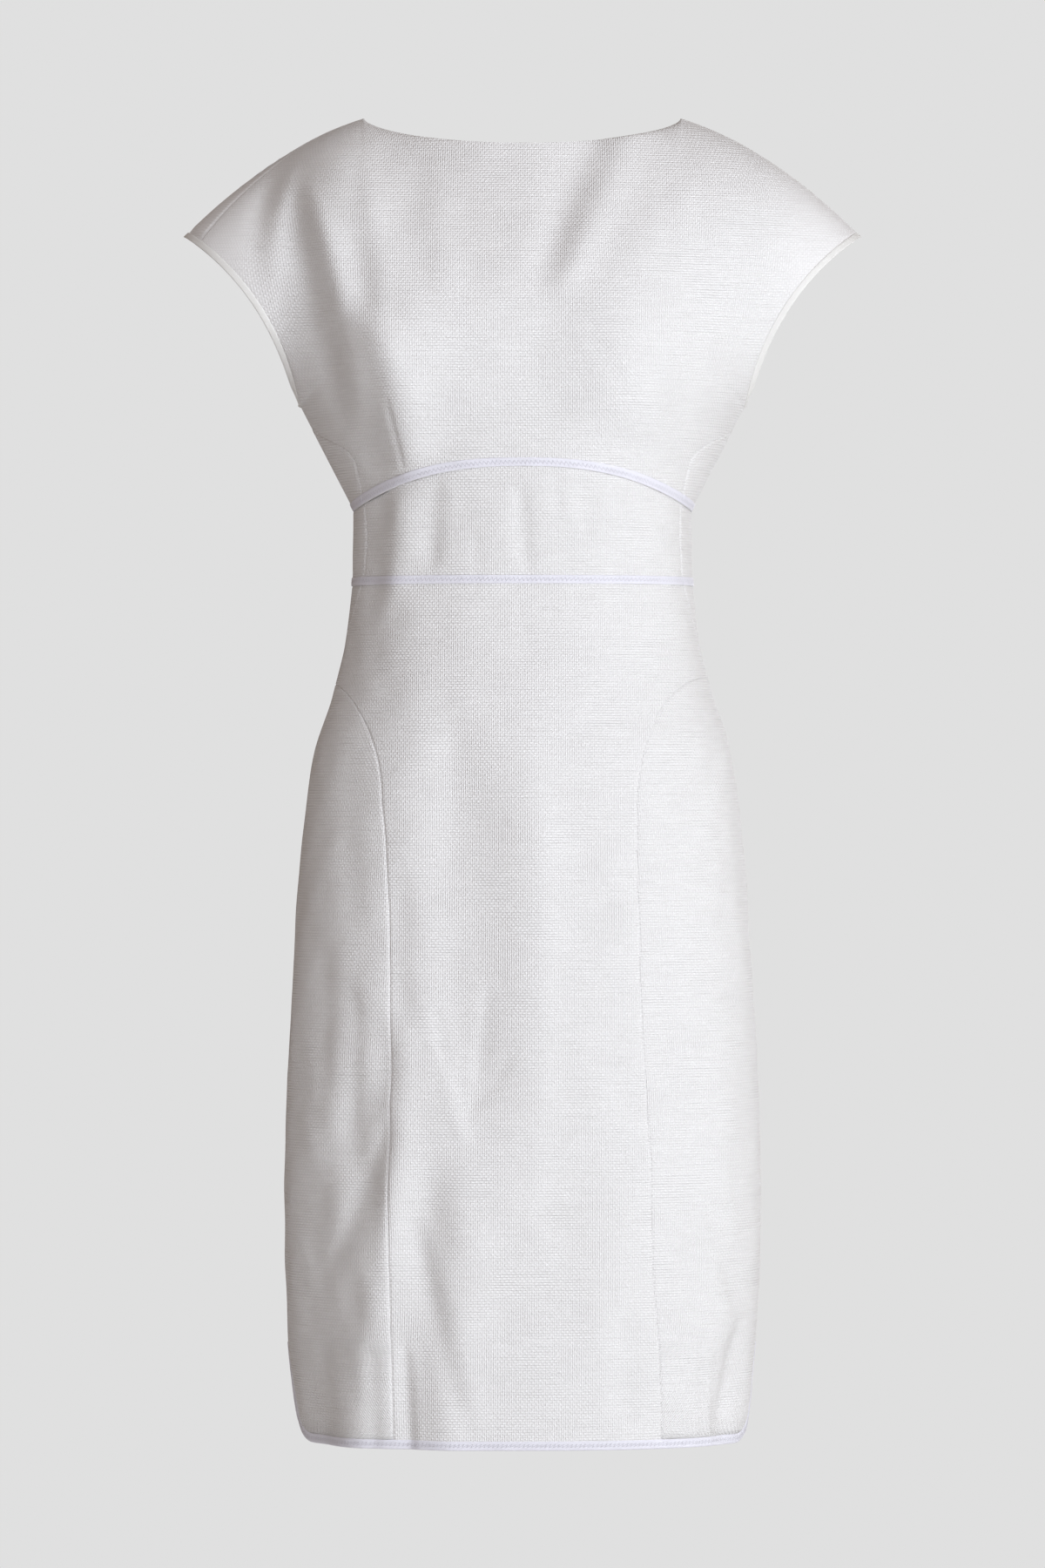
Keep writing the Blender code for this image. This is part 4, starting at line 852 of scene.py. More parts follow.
# %% Skirt seams and slits
HipSeam = namedtuple("HipSeam", "side start_z knee_z knee_x bluntness run")
Run = namedtuple("Run", "z x")
HIP_SEAMS = (
    HipSeam(RIGHT, -0.4257, -0.5140, 0.1040, 1.5,
            (Run(-0.514, 0.1040), Run(-0.545, 0.1012), Run(-0.694, 0.0982),
             Run(-0.822, 0.0969), Run(-0.992, 0.0960))),
    HipSeam(LEFT, -0.4207, -0.5170, 0.0847, 1.0,
            (Run(-0.517, 0.0847), Run(-0.545, 0.0849), Run(-0.700, 0.0893),
             Run(-0.780, 0.0945), Run(-0.860, 0.0967), Run(-0.900, 0.1000),
             Run(-0.992, 0.1036))),
)
SLIT_TOP_Z = -0.9130
SLIT_GAPE = 0.0130
CORNER_WIDTH = 0.0300
CORNER_HEIGHT = 0.0230
YOKE_ROWS = 4
CURVE_ROWS = 8
RUN_ROWS = 12
SLIT_ROWS = 2
CORNER_ROWS = 5
STRAIGHT_ROWS = CURVE_ROWS + RUN_ROWS
LAST_ROW = STRAIGHT_ROWS + SLIT_ROWS + CORNER_ROWS
YOKE_LIFT = 0.0200
SIDE_CLOSENESS = 1.8
SLIT_CURVE = 1.3
TURN_CLOSENESS = 4
LEVEL_CLOSENESS = 3
BOTTOM_Z = HEM_Z + BINDING_WIDTH


def hip_seam_point(seam, k):
    """Turn and height of a hip seam at its row k, from the side down to the hem."""
    angle = np.clip(k / CURVE_ROWS, 0, 1) ** 2 * np.pi / 2
    start_x = read(BODY_RINGS, seam.start_z, "half_width")
    z = seam.knee_z + (seam.start_z - seam.knee_z) * np.cos(angle)
    x = seam.knee_x + (start_x - seam.knee_x) * (1 - np.sin(angle) ** seam.bluntness)
    past = k - CURVE_ROWS
    slit = np.clip((past - RUN_ROWS) / (SLIT_ROWS + CORNER_ROWS), 0, 1)
    low_z = np.where(past <= RUN_ROWS, mix(seam.knee_z, SLIT_TOP_Z, past / RUN_ROWS),
                     mix(SLIT_TOP_Z, BOTTOM_Z, slit))
    z = np.where(past <= 0, z, low_z)
    x = np.where(past <= 0, x, read(seam.run, z, "x"))
    return body_turn(seam.side, np.minimum(x, read(BODY_RINGS, z, "half_width")), z), z


def slit_edge(k, inset):
    """Distance from the side line and height along a slit's edge, from its top at 0."""
    corner_z = HEM_Z + CORNER_HEIGHT
    share = np.clip(k / SLIT_ROWS, 0, 1)
    away = SLIT_GAPE * share ** SLIT_CURVE + inset * np.minimum(1.0, share * SLIT_ROWS)
    angle = np.clip((k - SLIT_ROWS) / CORNER_ROWS, 0, 1) * np.pi / 2
    round_away = SLIT_GAPE + CORNER_WIDTH - (CORNER_WIDTH - inset) * np.cos(angle)
    round_z = corner_z - (CORNER_HEIGHT - inset) * np.sin(angle)
    return (np.where(k <= SLIT_ROWS, away, round_away),
            np.where(k <= SLIT_ROWS, mix(SLIT_TOP_Z, corner_z, share), round_z))


def skirt_side_edge(side, face, start_z, k):
    straight_z = mix(start_z, SLIT_TOP_Z, np.clip(k / STRAIGHT_ROWS, 0, 1) ** SIDE_CLOSENESS)
    away, z = slit_edge(k - STRAIGHT_ROWS, BINDING_WIDTH)
    straight = k <= STRAIGHT_ROWS
    z = np.where(straight, straight_z, z)
    return np.where(straight, side * np.pi / 2, side_turn(side, face, away, z)), z


# %% Skirt panels
SKIRT_STEP = 0.0025
FRONT_WIDTH, SIDE_WIDTH, HALF_BACK_WIDTH = 0.25, 0.09, 0.28
SEAM_START_ROWS = (46, 0.8)      # how many, and how close they lie at the seam's start
WAIST_ROWS = (0.0, 0.03, 0.07, 0.12, 0.19)   # close rows below the waist seam
WAIST_ROWS_END = 0.28
HEM_ROWS = (0.12, 0.05, 0.0)     # and above the hem binding
HEM_ROWS_START = 0.2
SIDE_TOP_ROW = 0.7               # above it a side panel would end in a needle point


def skirt_front_place(share, k):
    ends = []
    for seam in HIP_SEAMS:
        yoke_z = mix(WAIST_Z, seam.start_z, np.clip(1 + k / YOKE_ROWS, 0, 1))
        turn, z = hip_seam_point(seam, np.maximum(k, 0.0))
        in_yoke = k <= 0
        ends.append((np.where(in_yoke, seam_turn(seam.side, yoke_z), turn),
                     np.where(in_yoke, yoke_z, z)))
    (right_turn, right_z), (left_turn, left_z) = ends
    turn = mix(right_turn, left_turn, (share + 1) / 2)
    knees = [hip_seam_point(seam, np.array(float(CURVE_ROWS)))[0] for seam in HIP_SEAMS]
    slow = [mix(seam.side * np.pi / 2, knee, ease(k / CURVE_ROWS))
            for seam, knee in zip(HIP_SEAMS, knees)]
    inner = mix(slow[0], slow[1], (share + 1) / 2)
    turn = np.where((k > 0) & (k < CURVE_ROWS), mix(inner, turn, share ** TURN_CLOSENESS),
                    turn)
    edge_z = mix(right_z, left_z, (share + 1) / 2)
    yoke_end = (HIP_SEAMS[0].start_z + HIP_SEAMS[1].start_z) / 2 + YOKE_LIFT
    knee_z = (HIP_SEAMS[0].knee_z + HIP_SEAMS[1].knee_z) / 2
    in_curve = mix(yoke_end, knee_z, np.clip(k / CURVE_ROWS, 0, 1) ** SIDE_CLOSENESS)
    middle_z = np.where(k <= 0, mix(WAIST_Z, yoke_end, np.clip(1 + k / YOKE_ROWS, 0, 1)),
                        np.where(k < CURVE_ROWS, in_curve, edge_z))
    return body_place(turn, mix(middle_z, edge_z, np.abs(share) ** LEVEL_CLOSENESS))


def skirt_side_place(seam):
    def place(share, k):
        inner_turn, inner_z = hip_seam_point(seam, k)
        outer_turn, outer_z = skirt_side_edge(seam.side, FRONT, seam.start_z, k)
        return body_place(mix(inner_turn, outer_turn, share), mix(inner_z, outer_z, share))
    return place


def skirt_back_place(seam):
    def place(share, k):
        yoke_z = mix(WAIST_Z, seam.start_z, np.clip(1 + k / YOKE_ROWS, 0, 1))
        edge, side_z = skirt_side_edge(seam.side, BACK, seam.start_z, np.maximum(k, 0.0))
        edge = np.where(k <= 0, seam_turn(seam.side, yoke_z), edge)
        side_z = np.where(k <= 0, yoke_z, side_z)
        past = np.clip((k - STRAIGHT_ROWS) / (SLIT_ROWS + CORNER_ROWS), 0, 1)
        z = np.where(k <= STRAIGHT_ROWS, side_z,
                     mix(mix(SLIT_TOP_Z, BOTTOM_Z, past), side_z, share))
        return body_place(mix(seam.side * np.pi, edge, share), z)
    return place


def between(start, end, count):
    """Evenly spaced rows, without the last one."""
    return np.linspace(start, end, count + 1)[:-1]


count, closeness = SEAM_START_ROWS
seam_start_rows = CURVE_ROWS * np.linspace(0, 1, count) ** closeness
skirt_rows = np.concatenate((
    np.array(WAIST_ROWS) - YOKE_ROWS, between(WAIST_ROWS_END - YOKE_ROWS, 0.0, 24),
    seam_start_rows[:-1], between(CURVE_ROWS, STRAIGHT_ROWS, 156),
    between(STRAIGHT_ROWS, STRAIGHT_ROWS + SLIT_ROWS, 16),
    np.linspace(STRAIGHT_ROWS + SLIT_ROWS, LAST_ROW - HEM_ROWS_START, 20),
    LAST_ROW - np.array(HEM_ROWS)))
skirt_front_columns = spaced(FRONT_WIDTH, SKIRT_STEP, -1.0, 1.0)
skirt_side_columns = spaced(SIDE_WIDTH, SKIRT_STEP)
skirt_back_columns = spaced(HALF_BACK_WIDTH, SKIRT_STEP)
lay("skirt_cloth_front", skirt_front_columns, skirt_rows, skirt_front_place,
    seams=(1, 1, 1, 0), origin=len(skirt_front_columns) // 2)
side_rows = np.concatenate(([SIDE_TOP_ROW], skirt_rows[skirt_rows > SIDE_TOP_ROW + 0.05]))
for seam in HIP_SEAMS:
    name = SIDE_NAMES[seam.side]
    below_slit = (side_rows < STRAIGHT_ROWS).astype(float)
    lay(f"skirt_cloth_side_{name}", skirt_side_columns, side_rows, skirt_side_place(seam),
        seams=(1, below_slit, 0, 0), origin=len(skirt_side_columns) - 1)
    below_slit = (skirt_rows < STRAIGHT_ROWS).astype(float)
    lay(f"skirt_cloth_back_{name}", skirt_back_columns, skirt_rows, skirt_back_place(seam),
        seams=(1, below_slit, 1, 0))
report([name for name in pieces if "skirt" in name])

# %% [markdown]
# ## Tapes, sleeve bands and hem bindings
#
# A flat tape covers the under-bust seam and the waist seam. It is made from the panel's
# own points, moved out, with a low crown across its width. The same maker gives the hem
# binding, which runs from the top of one slit round both rounded corners to the top of the
# other, and the narrow band that is turned round each sleeve edge. The band faces the
# front and the back more than the cloth it edges, so that it shows as a thin light line.

# %% Tapes on the seams
TAPE_ROWS = (0.0, 0.10, 0.30, 0.5, 0.70, 0.90, 1.0)
TAPE_CROWN = 0.00012
TAPE_CLEAR = 0.0002
TAPE_SHOWS = 0.0005          # sewn down, the tape stands less proud than it is thick
NO_ROLL = (0, 0, 0, 0)
tape = {"outer": TAPE_CLEAR + TAPE_SHOWS, "inner": TAPE_CLEAR, "seams": NO_ROLL,
        "grain": grain_strip, "crown": TAPE_CROWN}
bust_rows = np.array(TAPE_ROWS) * TAPE_ROW
along_front = np.linspace(-1, 1, 150)
along_back = np.concatenate((between(0, 1, 73), np.linspace(1, 2, 14)))


def on_waist(place):
    """The midriff's lowest stretch, one tape's width high."""
    def strip(column, across):
        top = place(column, np.zeros_like(across))[0][..., 2]
        down = (top - WAIST_Z - TAPE_WIDTH * (1 - across)) / (top - WAIST_Z)
        return place(column, down)
    return strip


lay("bust_tape_strip_front", along_front, bust_rows, front_bodice_place, **tape)
lay("waist_tape_strip_front", along_front, TAPE_ROWS, on_waist(midriff_front_place), **tape)
for side, name in SIDE_NAMES.items():
    lay(f"bust_tape_strip_back_{name}", along_back, bust_rows, back_bodice_place(side), **tape)
    lay(f"waist_tape_strip_back_{name}", along_back, TAPE_ROWS,
        on_waist(midriff_back_place(side)), **tape)

# %% Sleeve bands
BAND_ROWS = (0.0, 0.15, 0.35, 0.65, 0.85, 1.0)
BAND_POINTS = 90
BAND_CLOSENESS = 1.4         # how much closer its points lie at the underarm
BAND_DEEP = 0.0008
BAND_FACES = 0.7             # how much the turned edge faces the front or the back
BAND_NARROW_ROWS = 0.06
UNDERARM_BAND = 0.45         # its width at the underarm, as a share
BACK_BAND = 0.35             # the back half is turned in more, so it hides behind the front


def sleeve_band_place(side):
    """Columns go once round the armhole: front up, over the shoulder, back down."""
    rise = np.linspace(0, 1, BAND_POINTS) ** BAND_CLOSENESS
    rise = SIDE_SEAM_ROW + (1 - SIDE_SEAM_ROW) * rise
    face = np.concatenate((np.full(BAND_POINTS, FRONT), np.full(BAND_POINTS - 2, BACK)))
    row = np.concatenate((rise, rise[1:-1][::-1]))
    row = row - np.where(face == FRONT, 1, -1) * shoulder_forward(np.full(row.shape, side), row)
    across = np.full(row.shape, float(side))
    edge = sheet_point(face, across, row)
    normal = sheet_normal(face, across, row)
    normal[:, 1] += BAND_FACES * face
    normal = unit(normal)
    low = ease((row - SIDE_SEAM_ROW) / BAND_NARROW_ROWS)
    behind = (face == BACK) * ease((1 - row) / BAND_NARROW_ROWS) * low
    share = mix(UNDERARM_BAND, 1.0, low) * mix(1.0, BACK_BAND, behind)
    along = np.roll(edge, -1, axis=0) - np.roll(edge, 1, axis=0)
    away = unit(np.cross(normal, along))
    away *= np.sign(away[:, :1] * side)

    def place(column, width):
        k = np.rint(column).astype(int) % len(row)
        out = (SEAM_GAP / 2 + width * SLEEVE_BAND_WIDTH) * share[k]
        return edge[k] + away[k] * out[..., None], normal[k]
    return place


for side, name in SIDE_NAMES.items():
    lay(f"sleeve_edge_band_{name}", np.arange(2 * BAND_POINTS - 1), BAND_ROWS,
        sleeve_band_place(side), outer=BAND_PROUD, inner=-BAND_DEEP,
        seams=NO_ROLL, trim=0.0, grain=grain_strip, crown=TAPE_CROWN, loop=True)

# %% Hem bindings
BINDING_START = 0.25
HEM_COLUMNS = 24
RISE = SLIT_ROWS + CORNER_ROWS
LAST_BINDING = 2 * RISE + HEM_COLUMNS


def hem_binding_place(face):
    def edge_at(k, inset):
        from_end = np.minimum(k, LAST_BINDING - k)
        side = np.where(k < LAST_BINDING / 2, RIGHT, LEFT)
        away, z = slit_edge(np.minimum(from_end, RISE), inset)
        turns = {s: side_turn(s, face, away, z) for s in (RIGHT, LEFT)}
        slit = np.where(side == RIGHT, turns[RIGHT], turns[LEFT])
        ends = [side_turn(s, face, SLIT_GAPE + CORNER_WIDTH, HEM_Z + inset)
                for s in (RIGHT, LEFT)]
        if face == BACK:
            ends[0] = ends[0] + 2 * np.pi
        level = mix(ends[0], ends[1], (k - RISE) / HEM_COLUMNS)
        on_hem = from_end > RISE
        z = np.where(on_hem, HEM_Z + inset, z)
        return body_point(np.where(on_hem, level, slit), z)

    def place(k, across):
        points = edge_at(k, (BINDING_WIDTH - SEAM_GAP) * (1 - across))
        return points, unit(points * np.array((1.0, 1.0, 0.0)))
    return place


binding_columns = np.concatenate((
    between(BINDING_START, SLIT_ROWS, 25), between(SLIT_ROWS, RISE, 27),
    between(RISE, LAST_BINDING - RISE, 129),
    between(LAST_BINDING - RISE, LAST_BINDING - SLIT_ROWS, 27),
    np.linspace(LAST_BINDING - SLIT_ROWS, LAST_BINDING - BINDING_START, 26)))
for face, name in ((FRONT, "front"), (BACK, "back")):
    lay(f"hem_tape_{name}", binding_columns, TAPE_ROWS, hem_binding_place(face),
        outer=BAND_PROUD, inner=-WALL - BAND_PROUD, seams=NO_ROLL, trim=0.0,
        grain=grain_strip, crown=TAPE_CROWN)
report([name for name in pieces if "tape" in name or "band" in name])

# %% [markdown]
# ## Zip teeth and pull tab
#
# The zip is a concealed one: its teeth lie on the inner side of its tape, and outside only
# the slider and a small pull tab show. The teeth are small blocks that stand to one side
# and the other in turn. The pull tab is an outline with a slot and an eye, filled, extruded
# and rounded at its edges. It takes the place of its plain solid and turns with the same
# body.

# %% Zip teeth and pull tab
ZIP_END_Z = -0.5300
ZIP_DEPTH = 0.0033           # from the cloth's outer face to the middle of the teeth
TOOTH_STEP = 0.0014
TOOTH = (0.0024, 0.0006, 0.0009)
TOOTH_SHIFT = 0.0005
TEETH_FROM, TEETH_TO = ZIP_TOP_Z - 0.002, ZIP_END_Z + 0.004
SLIDER_Z = -0.0330
PULL_HEIGHT = 0.0019         # from the cloth's outer face to the middle of the tab
PULL_HALF_WIDTH = 0.0024
PULL_END_RADIUS = 0.0032
PULL_LENGTH = 0.0200
PULL_THICK = 0.0010
PULL_BAR = 0.00045
PULL_SLOT = (0.0011, 0.0031)
PULL_ROUNDING = 0.00022
EYE_RADIUS = 0.0011
LINE_STEP = 1e-3
SHARP_ANGLE = 1.2


def back_line(z):
    """The centre back line at a height, as (y, z), and its direction upwards."""
    rows = np.linspace(0, 1, 400)
    line = sheet_point(np.full(rows.shape, BACK), np.zeros(rows.shape), rows)

    def at(height):
        if height > BUST_SEAM_SIDE_Z:
            return np.array((np.interp(height, line[:, 2], line[:, 1]), height))
        return body_point(np.array(np.pi), np.array(height))[1:]

    return at(z), unit(at(z + LINE_STEP) - at(z - LINE_STEP))


def zip_matrix(z, height):
    """A frame on the centre back: y up along the zip, z out of the cloth."""
    (y, z), (up_y, up_z) = back_line(z)
    out = Vector((0.0, up_z, -up_y))
    turned = Matrix(((-1, 0, 0, 0), (0, up_y, out.y, 0), (0, up_z, out.z, 0), (0, 0, 0, 1)))
    return Matrix.Translation(Vector((0.0, y, z)) + out * height) @ turned


def object_from(bm, name):
    mesh = bpy.data.meshes.new(name)
    bm.to_mesh(mesh)
    bm.free()
    return link_object(name, mesh)


def make_teeth():
    bm = bmesh.new()
    for number, z in enumerate(np.arange(TEETH_FROM, TEETH_TO, -TOOTH_STEP)):
        shift = TOOTH_SHIFT * (1 if number % 2 else -1)
        place = zip_matrix(z, -ZIP_DEPTH) @ Matrix.Translation((shift, 0, 0))
        bmesh.ops.create_cube(bm, size=1.0, matrix=place @ Matrix.Diagonal((*TOOTH, 1.0)))
    return object_from(bm, "zip_teeth")


def arc(radius, middle_y, angles):
    return [(radius * np.cos(a), middle_y + radius * np.sin(a)) for a in angles]


def make_pull_tab():
    """A tab with a slot for the slider's bar at its top and an eye in its round end."""
    middle_y = PULL_END_RADIUS - PULL_LENGTH
    slot_x, slot_y = PULL_SLOT
    outline = [(PULL_HALF_WIDTH, PULL_BAR), (PULL_HALF_WIDTH, -slot_y),
               *arc(PULL_END_RADIUS, middle_y, np.linspace(0, -np.pi, 25)),
               (-PULL_HALF_WIDTH, -slot_y), (-PULL_HALF_WIDTH, PULL_BAR)]
    slot = [(slot_x, -PULL_BAR), (slot_x, -slot_y), (-slot_x, -slot_y), (-slot_x, -PULL_BAR)]
    eye = arc(EYE_RADIUS, middle_y, between(0, 2 * np.pi, 20))
    bm = bmesh.new()
    edges = []
    for loop in (outline, slot, eye):
        verts = [bm.verts.new((x, y, -PULL_THICK / 2)) for x, y in loop]
        edges += [bm.edges.new((a, b)) for a, b in zip(verts, verts[1:] + verts[:1])]
    bmesh.ops.triangle_fill(bm, use_beauty=True, edges=edges)
    made = bmesh.ops.extrude_face_region(bm, geom=bm.faces[:], use_keep_orig=True)
    top = [part for part in made["geom"] if isinstance(part, bmesh.types.BMVert)]
    bmesh.ops.translate(bm, verts=top, vec=(0, 0, PULL_THICK))
    bmesh.ops.recalc_face_normals(bm, faces=bm.faces)
    sharp = [edge for edge in bm.edges
             if len(edge.link_faces) == 2 and edge.calc_face_angle() > SHARP_ANGLE
             and abs(edge.verts[0].co.z - edge.verts[1].co.z) < 1e-6]
    bmesh.ops.bevel(bm, geom=sharp, offset=PULL_ROUNDING, segments=3, affect="EDGES")
    bmesh.ops.transform(bm, matrix=zip_matrix(SLIDER_Z, PULL_HEIGHT), verts=bm.verts)
    asked = Vector(np.mean(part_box("zip_pull"), axis=0))
    corners = np.array([vert.co for vert in bm.verts])
    have = Vector((corners.min(axis=0) + corners.max(axis=0)) / 2)
    bmesh.ops.translate(bm, verts=bm.verts, vec=asked - have)
    return object_from(bm, "zip_pull_tab")


pieces["zip_teeth"] = make_teeth()
pieces["zip_pull_tab"] = make_pull_tab()
report(["zip_teeth", "zip_pull_tab"])

# %% [markdown]
# ## The woven cloth
#
# Zoomed in, the cloth is a basket weave: pairs of yarns pass over and under each other, so
# small blocks stand high and low in turn, with a furrow between them. In some patches the
# level furrows show more, in others the upright ones. Some of the weft yarns are thicker
# for a few centimetres, which gives the faint level streaks. All of that is worked out
# from the UV map in metres, with sine waves for the blocks and stretched noise for the
# patches and the streaks. It goes to bump and, weakly, to colour, where it is painted
# shade and light: darker in the low furrows, lighter on the raised blocks and thick yarns.
# The bump gets weaker towards the sleeve tips, where the cloth is stretched and the light
# grazes it.

# %% Node helpers
def new_material(name, **values):
    """A material with some of its shader's inputs set."""
    made = bpy.data.materials.new(name)
    made.use_nodes = True
    tree = made.node_tree
    shader = tree.nodes["Principled BSDF"]
    for socket, value in values.items():
        shader.inputs[socket.replace("_", " ")].default_value = value
    return made, tree, shader


def math_node(tree, operation, first, second=None):
    """A sum, product or the like of numbers and sockets."""
    node = tree.nodes.new("ShaderNodeMath")
    node.operation = operation
    for socket, value in zip(node.inputs, (first, second)):
        if value is None:
            continue
        if isinstance(value, (int, float)):
            socket.default_value = value
        else:
            tree.links.new(value, socket)
    return node.outputs[0]


def uv_axes(tree):
    """The two directions of the piece's UV map, in metres."""
    chart = tree.nodes.new("ShaderNodeUVMap")
    chart.uv_map = "grain"
    parts = tree.nodes.new("ShaderNodeSeparateXYZ")
    tree.links.new(chart.outputs["UV"], parts.inputs[0])
    return chart.outputs["UV"], parts.outputs["X"], parts.outputs["Y"]


def stretched_noise(tree, uv, across, along, detail=2.0):
    """Noise with so many spots to the metre in each direction."""
    mapping = tree.nodes.new("ShaderNodeMapping")
    mapping.inputs["Scale"].default_value = (across, along, 1.0)
    tree.links.new(uv, mapping.inputs["Vector"])
    noise = tree.nodes.new("ShaderNodeTexNoise")
    noise.inputs["Scale"].default_value = 1.0
    noise.inputs["Detail"].default_value = detail
    tree.links.new(mapping.outputs[0], noise.inputs["Vector"])
    return noise.outputs["Fac"]


def wave(tree, place, length):
    """A sine wave that is 0 at furrows a length apart, and high and low in turn between."""
    turned = math_node(tree, "MULTIPLY", place, float(np.pi / length))
    return math_node(tree, "SINE", turned)


def mix_colour(tree, factor, first, second):
    node = tree.nodes.new("ShaderNodeMix")
    node.data_type = "RGBA"
    tree.links.new(factor, node.inputs["Factor"])
    node.inputs["A"].default_value = (*first, 1.0)
    node.inputs["B"].default_value = (*second, 1.0)
    return node.outputs["Result"]


def bump(tree, shader, height, strength, distance):
    """Relief of the shader's surface, from a height; gives back its node."""
    node = tree.nodes.new("ShaderNodeBump")
    node.inputs["Strength"].default_value = strength
    node.inputs["Distance"].default_value = distance
    tree.links.new(height, node.inputs["Height"])
    tree.links.new(node.outputs[0], shader.inputs["Normal"])
    return node


# %% Basket weave cloth
BLOCK_ACROSS = 0.00167
BLOCK_ALONG = 0.00198
FURROW_POWER = 0.6               # below 1, furrows are narrow and blocks are wide
BLOCK_SHARE = 0.30
PATCHES = (24.0, 30.0)           # spots to the metre, across and along
PATCH_SHARE = 1.6
SLUBS = (34.0, 620.0, 3.0)       # the same, and how much fine detail they have
SLUB_SHARE = 0.9
# painted shade: the low furrows of the weave get a darker colour, the raised blocks and thick
# yarns a lighter one
HEIGHT_PAINTED_SHADE_SHARE = 0.62                # how much of the height shows in the colour
RELIEF = 0.00052
# the bump's strength, by the distance from the middle of the dress
SLEEVE_SMOOTH = {"From Min": 0.175, "From Max": 0.225, "To Min": 1.0, "To Max": 0.25}
# the weave's white on its raised blocks, and the darker colour of its furrows, which is painted
# shade
CLOTH_LIGHT = (0.86, 0.85, 0.85)
CLOTH_FURROW_PAINTED_SHADE = (0.66, 0.64, 0.64)


def strength_by_sleeve(tree):
    """The bump's strength, from how far a place lies from the middle of the dress."""
    place = tree.nodes.new("ShaderNodeTexCoord").outputs["Object"]
    parts = tree.nodes.new("ShaderNodeSeparateXYZ")
    tree.links.new(place, parts.inputs[0])
    calm = tree.nodes.new("ShaderNodeMapRange")
    for socket, value in SLEEVE_SMOOTH.items():
        calm.inputs[socket].default_value = value
    tree.links.new(math_node(tree, "ABSOLUTE", parts.outputs["X"]), calm.inputs["Value"])
    return calm.outputs[0]


def basket_cloth(name):
    made, tree, shader = new_material(
        name, Roughness=0.82, Specular_IOR_Level=0.25, Sheen_Weight=0.12, Sheen_Roughness=0.5)
    uv, across, along = uv_axes(tree)
    waves = (wave(tree, across, BLOCK_ACROSS), wave(tree, along, BLOCK_ALONG))
    furrow_across, furrow_along = (
        math_node(tree, "POWER", math_node(tree, "ABSOLUTE", part), FURROW_POWER)
        for part in waves)
    patches = stretched_noise(tree, uv, *PATCHES)
    lean = math_node(tree, "MULTIPLY", math_node(tree, "SUBTRACT", patches, 0.5), PATCH_SHARE)
    share = math_node(tree, "ADD", lean, 0.5)
    node = tree.nodes.new("ShaderNodeMix")
    node.clamp_factor = True
    for value, socket in ((share, 0), (furrow_across, 2), (furrow_along, 3)):
        tree.links.new(value, node.inputs[socket])
    blocks = math_node(tree, "MULTIPLY", math_node(tree, "MULTIPLY", *waves), BLOCK_SHARE)
    slubs = math_node(tree, "MULTIPLY", stretched_noise(tree, uv, *SLUBS), SLUB_SHARE)
    height = math_node(tree, "ADD", math_node(tree, "ADD", node.outputs[0], blocks), slubs)
    # painted shade from the weave's height: the colour is darker where the weave is low
    tone_and_painted_shade = math_node(tree, "MULTIPLY", height, HEIGHT_PAINTED_SHADE_SHARE)
    colour = mix_colour(tree, tone_and_painted_shade, CLOTH_FURROW_PAINTED_SHADE, CLOTH_LIGHT)
    tree.links.new(colour, shader.inputs["Base Color"])
    relief = bump(tree, shader, height, 1.0, RELIEF)
    tree.links.new(strength_by_sleeve(tree), relief.inputs["Strength"])
    return made


cloth = basket_cloth("white_basket_cloth")
print("weave blocks:", BLOCK_ACROSS * 1000, "by", BLOCK_ALONG * 1000, "mm")

# %% [markdown]
# ## Tape, zip tape and metal
#
# The tape is a smooth, slightly cooler white, with a fine diagonal rib and a zigzag stitch
# that holds it down. Both show in its colour too, as painted light on the rib's crests and
# painted shade in the stitch's dip. The turned sleeve edge is a warmer white and has no
# stitch, only the rib with its painted light. The zip's metal is lacquered off-white and
# plain, so its roughness varies a little instead of its colour.

# %% Smooth finishes
RIB = 0.0008
STITCH_STEP = 0.0016         # half the length of one zigzag
STITCH_SPREAD = 0.0026
STITCH_THREAD = 0.0005
TAPE_SPOTS = (60.0, 200.0)
# painted light on the rib's crests, the tape's own uneven tone in its spots, and painted shade
# in the stitch's dip
RIB_PAINTED_LIGHT, SPOT_TONE, STITCH_PAINTED_SHADE = 0.3, 0.6, 0.7
RIB_SHARE = 0.15
TAPE_RELIEF = 0.00030
LACQUER = (0.24, 0.42)       # its roughness, from the smoothest spot to the roughest
LACQUER_SPOTS = (700.0, 700.0, 4.0)
ZIP_WEAVE = (900.0, 900.0)
ZIP_RELIEF = 0.0001


def zigzag(tree, along, across):
    """1 where the zigzag stitch lies and pulls the tape down, 0 beside it."""
    line = math_node(tree, "PINGPONG", along, STITCH_STEP)
    line = math_node(tree, "MULTIPLY", line, STITCH_SPREAD / STITCH_STEP)
    line = math_node(tree, "ADD", line, (TAPE_WIDTH - STITCH_SPREAD) / 2)
    away = math_node(tree, "ABSOLUTE", math_node(tree, "SUBTRACT", across, line))
    soft = math_node(tree, "DIVIDE", away, STITCH_THREAD)
    return math_node(tree, "MAXIMUM", math_node(tree, "SUBTRACT", 1.0, soft), 0.0)


